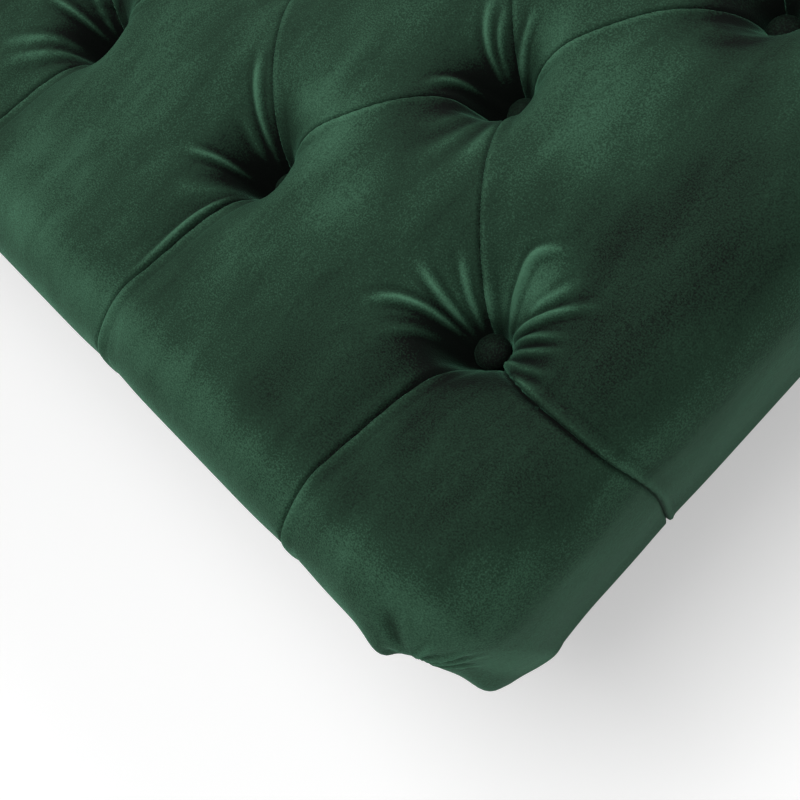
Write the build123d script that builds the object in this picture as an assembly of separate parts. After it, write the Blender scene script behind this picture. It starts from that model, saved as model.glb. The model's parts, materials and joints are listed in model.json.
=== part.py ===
from build123d import *
import os
from math import asin, cos, radians, sin, sqrt, tan

# A deep-buttoned chaise longue: a tufted seat slab on four turned legs, with a rolled back at the head.
# Millimetres. +X runs from the foot to the head, +Y is the left side seen from the foot, +Z is up.
# The origin is on the floor under the middle of the whole piece.

# Overall sizes
seat_length = 1273.0  # foot bulge to the crease between seat and back, at crown height
seat_width = 760.0  # across the bulging sides
crown_height = 430.0  # floor to the top of the seat's pillows
overall_height = 850.0  # floor to the top of the rolled back
slab_thickness = 154.0  # crown to the underside of the covered seat

# Seat slab form
edge_radius = 50.0  # roll of the top edge
corner_radius = 62.0  # plan radius of the slab's corners
hem_radius = 10.0  # roll of the lower edge
side_draw = 6.0  # degrees by which the sides draw in towards the hem
cover_thickness = 4.0  # velvet with its bonded backing
hem_width = 60.0  # cover turned in under the frame

# Tufting
button_pitch = 176.0  # along a row
row_pitch = 115.0  # from row to row, with every other row shifted by half a pitch
rows_each_side = 2  # rows on each side of the middle row
first_button_inset = 113.0  # from the foot bulge
crease_clearance = 30.0  # rim of a row's last tuft to the crease, at least
tuft_depth = 52.0  # crown to the cloth under a button
tuft_mouth = 60.0  # radius of a tuft at the crown
tuft_floor = 12.0  # radius of the flat under a button
tuft_overrun = 0.8  # how far a tuft's arc runs past the crown
pleat_depth = 2.6
pleat_half_width = 4.0
pleat_overrun = 1.0  # how far a pleat's cutter stands above the cloth
button_diameter = 20.5
button_rim = 4.0  # height of a button's straight rim
button_dome = 5.0  # rise of a button's dome
twine_diameter = 2.4
twine_clearance = 0.3
toggle_diameter = 16.0
toggle_thickness = 4.0

# Frame
rail_thickness = 22.0
rail_height = 60.0
rail_setback = 38.0  # side or foot bulge to the outer face of its rail
deck_thickness = 9.0
cross_rail_thickness = 30.0
cross_rail_gaps = (5, 9)  # the half pitches between buttons in which the cross rails lie
corner_block_leg = 70.0
dowel_diameter = 8.0
dowel_length = 50.0
dowel_spacing = 30.0
dust_cover_thickness = 1.0
deck_screw_diameter = 4.0
deck_screw_length = 30.0
deck_screw_head = 8.0
deck_screw_head_height = 2.5
deck_screw_pitch = 290.0
deck_screw_edge = 60.0  # rail's end to its first screw

# Legs
leg_inset_foot = 195.0  # foot bulge to the leg's axis
leg_inset_head = 150.0  # outer back to the leg's axis
leg_inset_side = 105.0  # side bulge to the leg's axis
leg_block_size = 90.0
leg_top_diameter = 46.0
leg_waist_diameter = 34.0
leg_foot_diameter = 24.0
leg_collar_height = 26.0
leg_collar_round = 2.5
glide_diameter = 22.0
glide_thickness = 5.0
glide_pin_diameter = 5.0
glide_pin_length = 14.0
hanger_bolt_diameter = 8.0
hanger_bolt_reach = 38.0  # into the leg, and into the block
insert_diameter = 12.0
insert_length = 20.0
thread_clearance = 0.1

# Back
back_lean = 20.0  # degrees back from upright
roll_radius = 80.0
rear_offset = 38.0  # roll centre to the outer back
back_foam_depth = 65.0
roll_core_radius = 52.0
roll_core_wall = 8.0
back_board_thickness = 9.0
side_panel_thickness = 18.0
facing_thickness = 8.0
back_rail_height = 60.0
back_rail_drop = 60.0  # roll's meeting with the outer back, down to the top rail
back_button_rise = 90.0  # crease to the lowest back buttons, up the face
roll_clearance = 10.0  # rim of the highest back tuft to the roll core, at least
facing_round = 3.0
cleat_thickness = 22.0
cleat_height = 60.0
panel_screw_diameter = 5.0
panel_screw_length = 38.0
panel_screw_head = 10.0
panel_screw_head_height = 3.0
panel_screw_pitch = 90.0
panel_screw_edge = 54.0  # outer back to the rearmost screw
panel_screw_rise = 20.0  # lower edge of a rail to its screws
fit = 0.3  # clearance between soft faces that meet

# Places worked out from the sizes
lean = radians(back_lean)
draw = radians(side_draw)
roll_height = overall_height - roll_radius
face_rise = (roll_height - crown_height + roll_radius * sin(lean)) / cos(lean)
roll_from_foot = seat_length + face_rise * sin(lean) + roll_radius * cos(lean)
overall_length = roll_from_foot + roll_radius
foot_x = -overall_length / 2
crease_x = foot_x + seat_length
roll_x = foot_x + roll_from_foot
rear_x = roll_x + rear_offset
frame_rear_x = rear_x - cover_thickness
half_width = seat_width / 2
hem_z = crown_height - slab_thickness
rail_z = hem_z + cover_thickness
deck_z = rail_z + rail_height
foam_z = deck_z + deck_thickness
rail_y = half_width - rail_setback
rail_x = foot_x + rail_setback
facing_y = rail_y + side_panel_thickness
button_height = button_rim + button_dome
board_front = cover_thickness + back_foam_depth  # back's face to the front of its board
board_rear = board_front + back_board_thickness


def box(x0, x1, y0, y1, z0, z1):
    """A box between two corners."""
    middle = Pos((x0 + x1) / 2, (y0 + y1) / 2, (z0 + z1) / 2)
    return middle * Box(x1 - x0, y1 - y0, z1 - z0)


def rod(start, end, radius):
    """A round bar between two points."""
    start, end = Vector(start), Vector(end)
    along = Plane(origin=start, z_dir=end - start)
    return extrude(along * Circle(radius), (end - start).length)


def screw(place, direction, diameter, length, head, head_height):
    """A wood screw with a flat head that is flush at its place."""
    shank = rod(place, place + direction * length, diameter / 2)
    return shank + rod(place, place + direction * head_height, head / 2)


def group(solids):
    """Several separate solids in one node."""
    return Compound(children=[solid.solid() for solid in solids])


def mirrored(solid):
    """The same piece on the other side of the middle."""
    return mirror(solid, Plane.XZ)


# Tufting, shared by the seat and the back
# A tufted face is a plane whose origin is on the middle line, whose x axis runs along the rows
# and whose z axis points out of the cloth.
seat_face = Plane(origin=(foot_x, 0, crown_height), x_dir=(1, 0, 0), z_dir=(0, 0, 1))
back_face = Plane(
    origin=(crease_x, 0, crown_height), x_dir=(sin(lean), 0, cos(lean)), z_dir=(-cos(lean), 0, sin(lean))
)


half_pitch = button_pitch / 2


def button_spots(first, limit):
    """Button places (along, across) on a face: as many in each row as fit before the limit.

    Every other row is shifted by half a pitch.
    """
    spots = []
    for row in range(-rows_each_side, rows_each_side + 1):
        shifted = (row + rows_each_side) % 2 == 1
        start = first + (half_pitch if shifted else 0)
        for step in range(int((limit - start) // button_pitch) + 1):
            spots.append((start + step * button_pitch, row * row_pitch))
    return spots


seat_spots = button_spots(first_button_inset, seat_length - crease_clearance - tuft_mouth)
back_spots = button_spots(back_button_rise, face_rise - roll_core_radius - roll_clearance - tuft_mouth)
outer_row_y = rows_each_side * row_pitch


def tuft(face, spot, inset):
    """The hollow that one button pulls into a face, as a cutter. The inset makes it wider and deeper."""
    floor = tuft_floor + inset
    mouth = tuft_mouth + inset
    bottom = -tuft_depth - inset
    top = tuft_overrun - inset
    width = mouth - floor
    height = top - bottom
    arc_radius = (width**2 + height**2) / (2 * height)
    turn = radians(45)
    middle = (mouth - arc_radius * sin(turn), top - arc_radius * (1 - cos(turn)))
    lid = top + tuft_depth
    outline = (
        Polyline((mouth, top), (mouth, lid), (0, lid), (0, bottom), (floor, bottom))
        + ThreePointArc((floor, bottom), middle, (mouth, top))
    )
    hollow = revolve(Plane.XZ * make_face(outline), Axis.Z)
    return face * Pos(spot[0], spot[1], 0) * hollow


def pleat(face, start, end):
    """A straight crease between two places on a face, as a V-shaped cutter."""
    begin = face.from_local_coords(Vector(start[0], start[1], 0))
    finish = face.from_local_coords(Vector(end[0], end[1], 0))
    sideways = face.z_dir.cross(finish - begin)
    section = Plane(origin=begin, x_dir=sideways, z_dir=finish - begin)
    crease = Polygon(
        (-pleat_half_width, pleat_overrun), (0, -pleat_depth), (pleat_half_width, pleat_overrun), align=None
    )
    upright = section.y_dir.dot(face.z_dir)
    turned = crease if upright > 0 else mirror(crease, Plane.XZ)
    return extrude(section * turned, (finish - begin).length)


def diagonal_pleats(face, spots):
    """Creases from each button of a shifted row to its four neighbours."""
    creases = []
    for start in spots:
        for end in spots:
            near = abs(abs(end[0] - start[0]) - half_pitch) < 1
            next_row = abs(end[1] - start[1] - row_pitch) < 1
            if near and next_row:
                creases.append(pleat(face, start, end))
    return creases


def bent_pleat(straight_start, bend_start, axis, turn, tail_length):
    """A crease along a flat, round a bend and down the far side, as separate cutters."""
    run = bend_start - straight_start
    outward = bend_start - axis.position
    outward = outward - axis.direction * outward.dot(axis.direction)
    flat = Plane(origin=straight_start, x_dir=axis.direction, z_dir=run)
    sign = 1 if flat.y_dir.dot(outward) > 0 else -1
    crease = Polygon(
        (-pleat_half_width, sign * pleat_overrun),
        (0, -sign * pleat_depth),
        (pleat_half_width, sign * pleat_overrun),
        align=None,
    )
    bend_face = Plane(origin=bend_start, x_dir=axis.direction, z_dir=run) * crease
    pieces = [extrude(flat * crease, run.length), revolve(bend_face, axis, turn)]
    if tail_length > 0:
        pieces.append(extrude(bend_face.rotate(axis, turn), tail_length))
    return pieces


# Seat slab
def slab(inset):
    """The seat's whole soft form, drawn in by the inset on every face. It runs on past the crease."""
    radius = edge_radius - inset
    overhang = radius / tan((radians(90) - draw) / 2) - radius
    height = slab_thickness - 2 * inset
    reach = half_width - inset + overhang
    foot_end = foot_x + inset - overhang
    head_end = crease_x + slab_thickness
    top_length = head_end - foot_end
    outline = RectangleRounded(top_length, 2 * reach, corner_radius - inset)
    top_face = Pos((foot_end + head_end) / 2, 0, crown_height - inset) * outline
    form = extrude(top_face, height, dir=(0, 0, -1), taper=side_draw)
    form = fillet(form.faces().sort_by(Axis.Z)[-1].edges(), radius)
    low_edges = form.faces().sort_by(Axis.Z)[0].edges()
    return fillet(low_edges, hem_radius) if inset == 0 else form


def seat_side(setback):
    """Everything on the foot side of the leaning crease, as a cutter's keep box."""
    reach = 4 * overall_height
    return back_face * Pos(0, 0, setback + reach / 2) * Box(2 * reach, 2 * reach, reach)


def edge_pleats():
    """Creases from the outer buttons over the side edges and the foot edge, and to the crease."""
    creases = []
    bend_y = half_width - edge_radius
    bend_z = crown_height - edge_radius
    tail = slab_thickness
    last_button = max(along for along, y in seat_spots)
    for along, y in seat_spots:
        x = foot_x + along
        if abs(y) == outer_row_y:
            side = 1 if y > 0 else -1
            axis = Axis((x, side * bend_y, bend_z), (-side, 0, 0))
            creases += bent_pleat(
                Vector(x, y, crown_height), Vector(x, side * bend_y, crown_height), axis,
                90 + side_draw, tail,
            )
        if along == first_button_inset:
            bend_x = foot_x + edge_radius
            axis = Axis((bend_x, y, bend_z), (0, -1, 0))
            creases += bent_pleat(
                Vector(x, y, crown_height), Vector(bend_x, y, crown_height), axis, 90 + side_draw, tail
            )
        if along == last_button:
            creases.append(pleat(seat_face, (along, y), (seat_length + edge_radius, y)))
    return creases


def twine_holes(face, spots, depth):
    """Cutters for the twine under every button of a face."""
    radius = twine_diameter / 2 + twine_clearance
    return [face * Pos(along, y, -depth / 2) * Cylinder(radius, depth) for along, y in spots]


def build_seat(nodes):
    """The cover, foam, edge padding, buttons and their twine."""
    outer_form = slab(0) - [tuft(seat_face, spot, 0) for spot in seat_spots]
    outer_form = outer_form - (diagonal_pleats(seat_face, seat_spots) + edge_pleats())
    outer_form = outer_form & seat_side(fit)
    inner_form = slab(cover_thickness) - [tuft(seat_face, spot, cover_thickness) for spot in seat_spots]
    inner_form = inner_form & seat_side(fit)
    hem_y = half_width - slab_thickness * tan(draw) - hem_width
    hem_x = foot_x + half_width - hem_y
    opening = box(hem_x, crease_x, -hem_y, hem_y, hem_z - 1, rail_z + 1)
    holes = twine_holes(seat_face, seat_spots, slab_thickness)
    nodes["seat_cover"] = outer_form - inner_form - opening - holes

    top_layer = box(foot_x, crease_x, -half_width, half_width, foam_z, crown_height)
    nodes["seat_foam"] = (inner_form & top_layer) - holes
    left = box(rail_x, crease_x, rail_y, half_width, rail_z, foam_z)
    foot = box(foot_x, rail_x, -half_width, half_width, rail_z, foam_z)
    nodes["left_edge_padding"] = inner_form & left
    nodes["right_edge_padding"] = inner_form & mirrored(left)
    nodes["foot_edge_padding"] = inner_form & foot
    add_buttons(nodes, "seat", seat_face, seat_spots, crown_height - deck_z)
    return hem_x, hem_y


def button():
    """A covered button with a straight rim and a domed top, standing on its own origin."""
    radius = button_diameter / 2
    outline = Polyline((0, 0), (radius, 0), (radius, button_rim))
    dome_radius = (radius**2 + button_dome**2) / (2 * button_dome)
    halfway = asin(radius / dome_radius) / 2
    middle = (dome_radius * sin(halfway), button_height - dome_radius * (1 - cos(halfway)))
    dome = ThreePointArc((radius, button_rim), middle, (0, button_height))
    return revolve(Plane.XZ * make_face(outline + dome + Line((0, button_height), (0, 0))), Axis.Z)


def add_buttons(nodes, name, face, spots, board_depth):
    """Buttons on a face, the twine behind them and the toggles that hold it behind a board."""
    buttons, twines, toggles = [], [], []
    whole_button = button()
    for along, y in spots:
        place = face * Pos(along, y, 0)
        buttons.append(place * Pos(0, 0, -tuft_depth) * whole_button)
        length = board_depth - tuft_depth
        twines.append(place * Pos(0, 0, -tuft_depth - length / 2) * Cylinder(twine_diameter / 2, length))
        toggles.append(
            place * Pos(0, 0, -board_depth - toggle_thickness / 2)
            * Cylinder(toggle_diameter / 2, toggle_thickness)
        )
    nodes[name + "_buttons"] = group(buttons)
    nodes[name + "_button_twines"] = group(twines)
    nodes[name + "_twine_toggles"] = group(toggles)


# Frame
def build_frame(nodes, hem_x, hem_y):
    """Rails, blocks, deck and dust cover."""
    inner_y = rail_y - rail_thickness
    left_rail = box(rail_x, frame_rear_x, inner_y, rail_y, rail_z, deck_z)
    nodes["foot_rail"] = box(rail_x, rail_x + rail_thickness, -inner_y, inner_y, rail_z, deck_z)
    head_rail_x = frame_rear_x - rail_thickness
    nodes["head_rail"] = box(head_rail_x, frame_rear_x, -inner_y, inner_y, rail_z, deck_z)
    rail_ends = [rail_x + rail_thickness / 2, head_rail_x + rail_thickness / 2]
    for name, gap in zip(("foot_cross_rail", "head_cross_rail"), cross_rail_gaps):
        middle = foot_x + first_button_inset + (gap + 0.5) * half_pitch
        nodes[name] = box(
            middle - cross_rail_thickness / 2, middle + cross_rail_thickness / 2, -inner_y, inner_y,
            rail_z, deck_z,
        )
        rail_ends.append(middle)

    dowels = []
    for x in rail_ends:
        for z in (-dowel_spacing / 2, dowel_spacing / 2):
            middle_z = rail_z + rail_height / 2 + z
            start = (x, rail_y - (rail_thickness - dowel_length / 4), middle_z)
            end = (x, start[1] - dowel_length, middle_z)
            dowels.append(rod(start, end, dowel_diameter / 2))
    dowels += [mirrored(dowel) for dowel in dowels]
    nodes["rail_dowels"] = group(dowels)
    nodes["left_side_rail"] = left_rail - dowels
    nodes["right_side_rail"] = mirrored(left_rail) - dowels
    for name in ("foot_rail", "head_rail", "foot_cross_rail", "head_cross_rail"):
        nodes[name] = nodes[name] - dowels

    for end, x, turn in (("foot", rail_x + rail_thickness, 1), ("head", head_rail_x, -1)):
        corner = Polygon((0, 0), (turn * corner_block_leg, 0), (0, -corner_block_leg), align=None)
        block = extrude(Pos(x, inner_y, rail_z) * corner, rail_height, dir=(0, 0, 1))
        nodes[end + "_left_corner_block"] = block
        nodes[end + "_right_corner_block"] = mirrored(block)

    deck = box(rail_x, frame_rear_x, -rail_y, rail_y, deck_z, foam_z)
    screws = []
    run = frame_rear_x - rail_x - 2 * deck_screw_edge
    count = round(run / deck_screw_pitch)
    for step in range(count + 1):
        place = Vector(
            rail_x + deck_screw_edge + step * run / count, rail_y - rail_thickness / 2, foam_z
        )
        head_sizes = (deck_screw_head, deck_screw_head_height)
        one = screw(place, Vector(0, 0, -1), deck_screw_diameter, deck_screw_length, *head_sizes)
        screws += [one, mirrored(one)]
    deck_holes = twine_holes(seat_face, seat_spots, slab_thickness)
    nodes["seat_deck"] = deck - screws - deck_holes
    nodes["deck_screws"] = group(screws)
    nodes["left_side_rail"] = nodes["left_side_rail"] - screws
    nodes["right_side_rail"] = nodes["right_side_rail"] - screws

    nodes["dust_cover"] = box(
        hem_x, frame_rear_x, -hem_y, hem_y, rail_z - dust_cover_thickness, rail_z
    )


def build_legs(nodes):
    """Legs, their glides, blocks and fixings."""
    leg_y = half_width - leg_inset_side
    places = {
        "foot_left": (foot_x + leg_inset_foot, leg_y),
        "foot_right": (foot_x + leg_inset_foot, -leg_y),
        "head_left": (rear_x - leg_inset_head, leg_y),
        "head_right": (rear_x - leg_inset_head, -leg_y),
    }
    bolts, inserts, openings = [], [], []
    inner_y = rail_y - rail_thickness
    collar_z = rail_z - leg_collar_height
    foot_r, waist_r, top_r = leg_foot_diameter / 2, leg_waist_diameter / 2, leg_top_diameter / 2
    outline = (
        Polyline((waist_r, collar_z), (top_r, collar_z), (top_r, rail_z), (0, rail_z),
                 (0, glide_thickness), (foot_r, glide_thickness))
        + Line((foot_r, glide_thickness), (waist_r, collar_z))
    )
    leg_form = revolve(Plane.XZ * make_face(outline), Axis.Z)
    leg_form = fillet(leg_form.edges().filter_by(GeomType.CIRCLE).group_by(SortBy.RADIUS)[-1], leg_collar_round)
    bolt_r = hanger_bolt_diameter / 2
    for name, (x, y) in places.items():
        side = 1 if y > 0 else -1
        bolt = rod((x, y, rail_z - hanger_bolt_reach), (x, y, rail_z + hanger_bolt_reach), bolt_r)
        bolt_hole = rod(
            (x, y, rail_z - hanger_bolt_reach), (x, y, rail_z + hanger_bolt_reach),
            bolt_r + thread_clearance,
        )
        insert = Pos(x, y, rail_z + insert_length / 2) * Cylinder(insert_diameter / 2, insert_length)
        pin_end = glide_thickness + glide_pin_length
        pin = rod((x, y, glide_thickness), (x, y, pin_end), glide_pin_diameter / 2)
        disc = Pos(x, y, glide_thickness / 2) * Cylinder(glide_diameter / 2, glide_thickness)
        half = leg_block_size / 2
        block_side = side * inner_y
        block_in = block_side - side * leg_block_size
        block = box(
            x - half, x + half, min(block_side, block_in), max(block_side, block_in), rail_z, deck_z
        )
        nodes[name + "_leg"] = Pos(x, y, 0) * leg_form - bolt_hole - pin
        nodes[name + "_glide"] = disc + pin
        nodes[name + "_leg_block"] = block - insert - bolt_hole
        bolts.append(bolt)
        inserts.append(insert - bolt_hole)
        openings.append(rod((x, y, hem_z), (x, y, rail_z + 1), top_r + twine_clearance))
    nodes["hanger_bolts"] = group(bolts)
    nodes["leg_inserts"] = group(inserts)
    nodes["dust_cover"] = nodes["dust_cover"] - openings


# Back
# Side outlines are drawn in X and Z. The normal points out of the leaning face, the slope up it.
normal = Vector(-cos(lean), sin(lean))
slope = Vector(sin(lean), cos(lean))
roll_centre = Vector(roll_x, roll_height)


def front_point(inset, height):
    """The place at a height on the leaning front, drawn in by the inset."""
    tangent = roll_centre + normal * (roll_radius - inset)
    return tangent - slope * ((tangent.Y - height) / slope.Y)


def roll_meets(radius, rear):
    """The height at which a roll of this radius meets an upright rear face below its centre."""
    return roll_height - sqrt(radius**2 - (rear - roll_x) ** 2)


def back_outline(inset, rear, low):
    """The back's side outline: leaning front, roll, upright rear. The inset draws the front and roll in."""
    radius = roll_radius - inset
    tangent = roll_centre + normal * radius
    front_low = front_point(inset, low)
    rear_z = roll_meets(radius, rear)
    diagonal = Vector(1, 1).normalized()
    shoulder = roll_centre + diagonal * radius
    crown = roll_centre + (normal + diagonal).normalized() * radius
    behind = roll_centre + Vector(radius, 0)
    outline = (
        Polyline((rear, rear_z), (rear, low), (front_low.X, low), (tangent.X, tangent.Y))
        + ThreePointArc((tangent.X, tangent.Y), (crown.X, crown.Y), (shoulder.X, shoulder.Y))
        + ThreePointArc((shoulder.X, shoulder.Y), (behind.X, behind.Y), (rear, rear_z))
    )
    return make_face(outline)


def across(face, y0, y1):
    """A side outline drawn in X and Z, made solid from y0 to y1."""
    side = Plane(origin=(0, y1, 0), x_dir=(1, 0, 0), z_dir=(0, -1, 0))
    return extrude(side * face, y1 - y0, dir=(0, -1, 0))


def frame_space(y0, y1):
    """The back's hard inside: behind the board, under the foam at the deck, and round at the roll."""
    points = [
        front_point(cover_thickness, rail_z),
        front_point(cover_thickness, foam_z),
        front_point(board_front, foam_z),
        roll_centre + normal * (roll_radius - board_front),
        roll_centre,
        Vector(frame_rear_x, roll_meets(roll_core_radius, frame_rear_x)),
        Vector(frame_rear_x, rail_z),
    ]
    outline = Polygon(*[(point.X, point.Y) for point in points], align=None)
    roll_end = Pos(roll_x, roll_height) * Circle(roll_core_radius)
    return across(outline, y0, y1) + across(roll_end, y0, y1)


def roll_rod(radius, half_length):
    """A round bar along the roll's axis."""
    return rod((roll_x, -half_length, roll_height), (roll_x, half_length, roll_height), radius)


def leaning_layer(front, rear, low, high, half_length):
    """A slab parallel to the back's face, between two depths and two places up the face."""
    middle = Pos((low + high) / 2, 0, -(front + rear) / 2)
    return back_face * middle * Box(high - low, 2 * half_length, rear - front)


def back_pleats():
    """Creases between the back's buttons, to its sides, down to the crease and up over the roll."""
    creases = diagonal_pleats(back_face, back_spots)
    top_row = max(along for along, side in back_spots)
    over_the_roll = Axis((roll_x, 0, roll_height), (0, 1, 0))
    roll_turn = 180.0
    for along, side in back_spots:
        if abs(side) == outer_row_y:
            creases.append(pleat(back_face, (along, side), (along, side / outer_row_y * facing_y)))
        if along == back_button_rise:
            creases.append(pleat(back_face, (along, side), (-edge_radius, side)))
        if along == top_row:
            start = back_face.from_local_coords(Vector(along, side, 0))
            bend = back_face.from_local_coords(Vector(face_rise, side, 0))
            creases += bent_pleat(start, bend, over_the_roll, roll_turn, 0)
    return creases


def build_back(nodes):
    """The back's panels, board, roll, foam, covers and buttons."""
    above_deck = box(foot_x, -foot_x, -half_width, half_width, foam_z, overall_height)
    panel = frame_space(rail_y, facing_y)
    board_top = face_rise - roll_core_radius - fit
    holes = twine_holes(back_face, back_spots, board_rear)
    board = leaning_layer(board_front, board_rear, -slab_thickness, board_top, rail_y) & above_deck
    nodes["back_board"] = board - holes
    cleat_low = (foam_z - crown_height + board_rear * sin(lean)) / cos(lean)
    cleat = leaning_layer(
        board_rear, board_rear + cleat_thickness, -slab_thickness, cleat_low + cleat_height, rail_y
    )
    nodes["back_board_cleat"] = cleat & above_deck
    rail_top = roll_meets(roll_radius, frame_rear_x) - back_rail_drop
    nodes["back_top_rail"] = box(
        frame_rear_x - rail_thickness, frame_rear_x, -rail_y, rail_y, rail_top - back_rail_height, rail_top
    )
    nodes["roll_core"] = roll_rod(roll_core_radius, rail_y) - roll_rod(
        roll_core_radius - roll_core_wall, rail_y
    )
    plug = rod(
        (roll_x, rail_y - side_panel_thickness, roll_height), (roll_x, rail_y, roll_height),
        roll_core_radius - roll_core_wall - fit,
    )
    nodes["roll_core_plugs"] = group([plug, mirrored(plug)])

    screws = []
    rail_middle = rail_top - back_rail_height / 2
    spots = [(rear_x - panel_screw_edge - step * panel_screw_pitch, rail_z + panel_screw_rise)
             for step in range(3)]
    spots += [(frame_rear_x - rail_thickness / 2, rail_middle + side * back_rail_height / 4)
              for side in (-1, 1)]
    spots += [(roll_x, roll_height)]
    for x, z in spots:
        head_sizes = (panel_screw_head, panel_screw_head_height)
        one = screw(
            Vector(x, facing_y, z), Vector(0, -1, 0), panel_screw_diameter, panel_screw_length, *head_sizes
        )
        screws += [one, mirrored(one)]
    nodes["panel_screws"] = group(screws)
    nodes["left_back_panel"] = panel - screws
    nodes["right_back_panel"] = mirrored(panel) - screws
    nodes["roll_core_plugs"] = group((nodes["roll_core_plugs"] - screws).solids())
    for name in ("left_side_rail", "right_side_rail", "back_top_rail"):
        nodes[name] = nodes[name] - screws

    inner_face = back_outline(cover_thickness, frame_rear_x, foam_z)
    outer = across(back_outline(0, frame_rear_x, foam_z), -facing_y, facing_y)
    outer = outer - [tuft(back_face, spot, 0) for spot in back_spots] - back_pleats()
    inner = across(inner_face, -facing_y, facing_y)
    inner = inner - [tuft(back_face, spot, cover_thickness) for spot in back_spots]
    nodes["back_cover"] = outer - inner - holes
    soft = inner - frame_space(-facing_y, facing_y)
    front_layer = leaning_layer(0, board_front, -overall_height, overall_height, half_width)
    nodes["back_foam"] = (soft & front_layer) - holes
    nodes["roll_padding"] = soft - front_layer
    rear_sheet = box(frame_rear_x, rear_x, -facing_y, facing_y, hem_z, roll_height)
    nodes["outer_back_cover"] = rear_sheet - roll_rod(roll_radius + fit, half_width)
    facing = across(back_outline(0, rear_x, hem_z), facing_y, facing_y + facing_thickness)
    facing = fillet(facing.faces().sort_by(Axis.Y)[-1].edges(), facing_round)
    nodes["left_back_facing"] = facing
    nodes["right_back_facing"] = mirrored(facing)
    add_buttons(nodes, "back", back_face, back_spots, board_rear)


nodes = {}
hem_x, hem_y = build_seat(nodes)
build_frame(nodes, hem_x, hem_y)
build_legs(nodes)
build_back(nodes)

os.makedirs("parts", exist_ok=True)
for name, shape in nodes.items():
    export_step(shape, f"parts/{name}.step")
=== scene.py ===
# %% [markdown]
# # A deep-buttoned velvet chaise longue
# The construction comes from the CAD frame: rails, deck, foam, buttons and legs, each where it belongs.
# This script adds what the eye sees: velvet pulled into tufts, pleats, wrinkles, polished legs, a floor,
# soft light and a camera. The box of the frame is kept, so that the finished look can be held against it.

# %% Load the frame
import json
import bmesh
import bpy
import numpy as np
from mathutils import Matrix, Vector


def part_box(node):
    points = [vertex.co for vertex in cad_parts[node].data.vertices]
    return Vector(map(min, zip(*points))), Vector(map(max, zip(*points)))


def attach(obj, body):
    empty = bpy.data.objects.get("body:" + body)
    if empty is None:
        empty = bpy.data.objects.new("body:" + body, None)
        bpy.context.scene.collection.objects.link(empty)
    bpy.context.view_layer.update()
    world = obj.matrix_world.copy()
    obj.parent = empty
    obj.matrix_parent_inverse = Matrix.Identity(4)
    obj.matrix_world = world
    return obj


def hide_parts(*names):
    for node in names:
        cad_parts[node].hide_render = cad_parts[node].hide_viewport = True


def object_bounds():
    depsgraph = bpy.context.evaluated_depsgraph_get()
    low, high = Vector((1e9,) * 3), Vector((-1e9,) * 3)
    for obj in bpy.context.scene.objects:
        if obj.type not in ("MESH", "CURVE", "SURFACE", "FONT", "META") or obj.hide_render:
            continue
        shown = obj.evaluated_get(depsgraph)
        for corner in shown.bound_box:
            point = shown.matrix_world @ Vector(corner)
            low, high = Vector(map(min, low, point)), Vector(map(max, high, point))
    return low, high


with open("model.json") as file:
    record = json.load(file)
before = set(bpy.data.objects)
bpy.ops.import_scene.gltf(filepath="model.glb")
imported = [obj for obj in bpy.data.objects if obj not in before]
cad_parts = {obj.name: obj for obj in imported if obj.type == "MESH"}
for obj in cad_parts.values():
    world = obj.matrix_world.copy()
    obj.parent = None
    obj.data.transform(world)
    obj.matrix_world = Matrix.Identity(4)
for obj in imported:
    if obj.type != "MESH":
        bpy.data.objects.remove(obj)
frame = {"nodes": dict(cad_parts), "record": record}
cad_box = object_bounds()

MM = 0.001
rng = np.random.default_rng(7)
frame_size = np.array(cad_box[1]) - np.array(cad_box[0])
print(len(frame["nodes"]), "pieces in a frame of", np.round(frame_size, 4).tolist(), "m")

# %% [markdown]
# ## Sizes
# A cover has to fit its frame, so its sizes could be typed again, or measured. Here the places are
# measured from the frame's boxes: where the foot, the crown, the hem and the back are. Only what no box can
# tell, such as the radii and the lean, repeats the sizes of the construction. All lengths are millimetres,
# as on a maker's drawing, and each mesh is scaled to metres when it is made.

# %% Sizes
def in_mm(box):
    """The two corners of a box, in millimetres."""
    return [np.array(corner) / MM for corner in box]


seat_low, seat_high = in_mm(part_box("seat_cover"))
back_high = in_mm(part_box("back_cover"))[1]
facing_high = in_mm(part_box("left_back_facing"))[1]

FOOT_X = seat_low[0]
HALF_WIDTH = seat_high[1]
CROWN_Z = seat_high[2]
HEM_Z = seat_low[2]
BACK_TOP_Z = back_high[2]
FACING_HALF = facing_high[1]
FACING_DEPTH = 8.0
FACING_INNER = FACING_HALF - FACING_DEPTH
LEAN = np.radians(20.0)
ROLL_R = 80.0
ROLL_X = back_high[0] - ROLL_R
ROLL_Z = BACK_TOP_Z - ROLL_R
FACE_RISE = (ROLL_Z - CROWN_Z + ROLL_R * np.sin(LEAN)) / np.cos(LEAN)
CREASE_X = ROLL_X - FACE_RISE * np.sin(LEAN) - ROLL_R * np.cos(LEAN)
OUTER_BACK_BEHIND_ROLL = 38.0
OUTER_BACK_X = ROLL_X + OUTER_BACK_BEHIND_ROLL

EDGE_R = 50.0
CORNER_R = 62.0
HEM_R = 10.0
SIDE_DRAW = np.radians(6.0)
HEM_WIDTH = 58.0
REAR_DROP = 36.0
print(f"seat {2 * HALF_WIDTH:.0f} mm wide, crown {CROWN_Z:.0f}, hem {HEM_Z:.0f}, crease at x {CREASE_X:.0f}")

# %% [markdown]
# ## The button grid
# Deep buttoning is set out in diamonds: rows of buttons, with every other row shifted by half a pitch.
# The buttons could be read one by one from the frame. A loop over rows and steps is shorter, and it
# shows the rule that an upholsterer chalks on the cloth.

# %% Button grid
PITCH = 176.0
ROW = 115.0
FIRST = 113.0
FIRST_ON_BACK = 90.0
TUFT_FLOOR = 52.0
TUFT_REACH = 78.0
TUFT_INNER = 8.0


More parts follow.
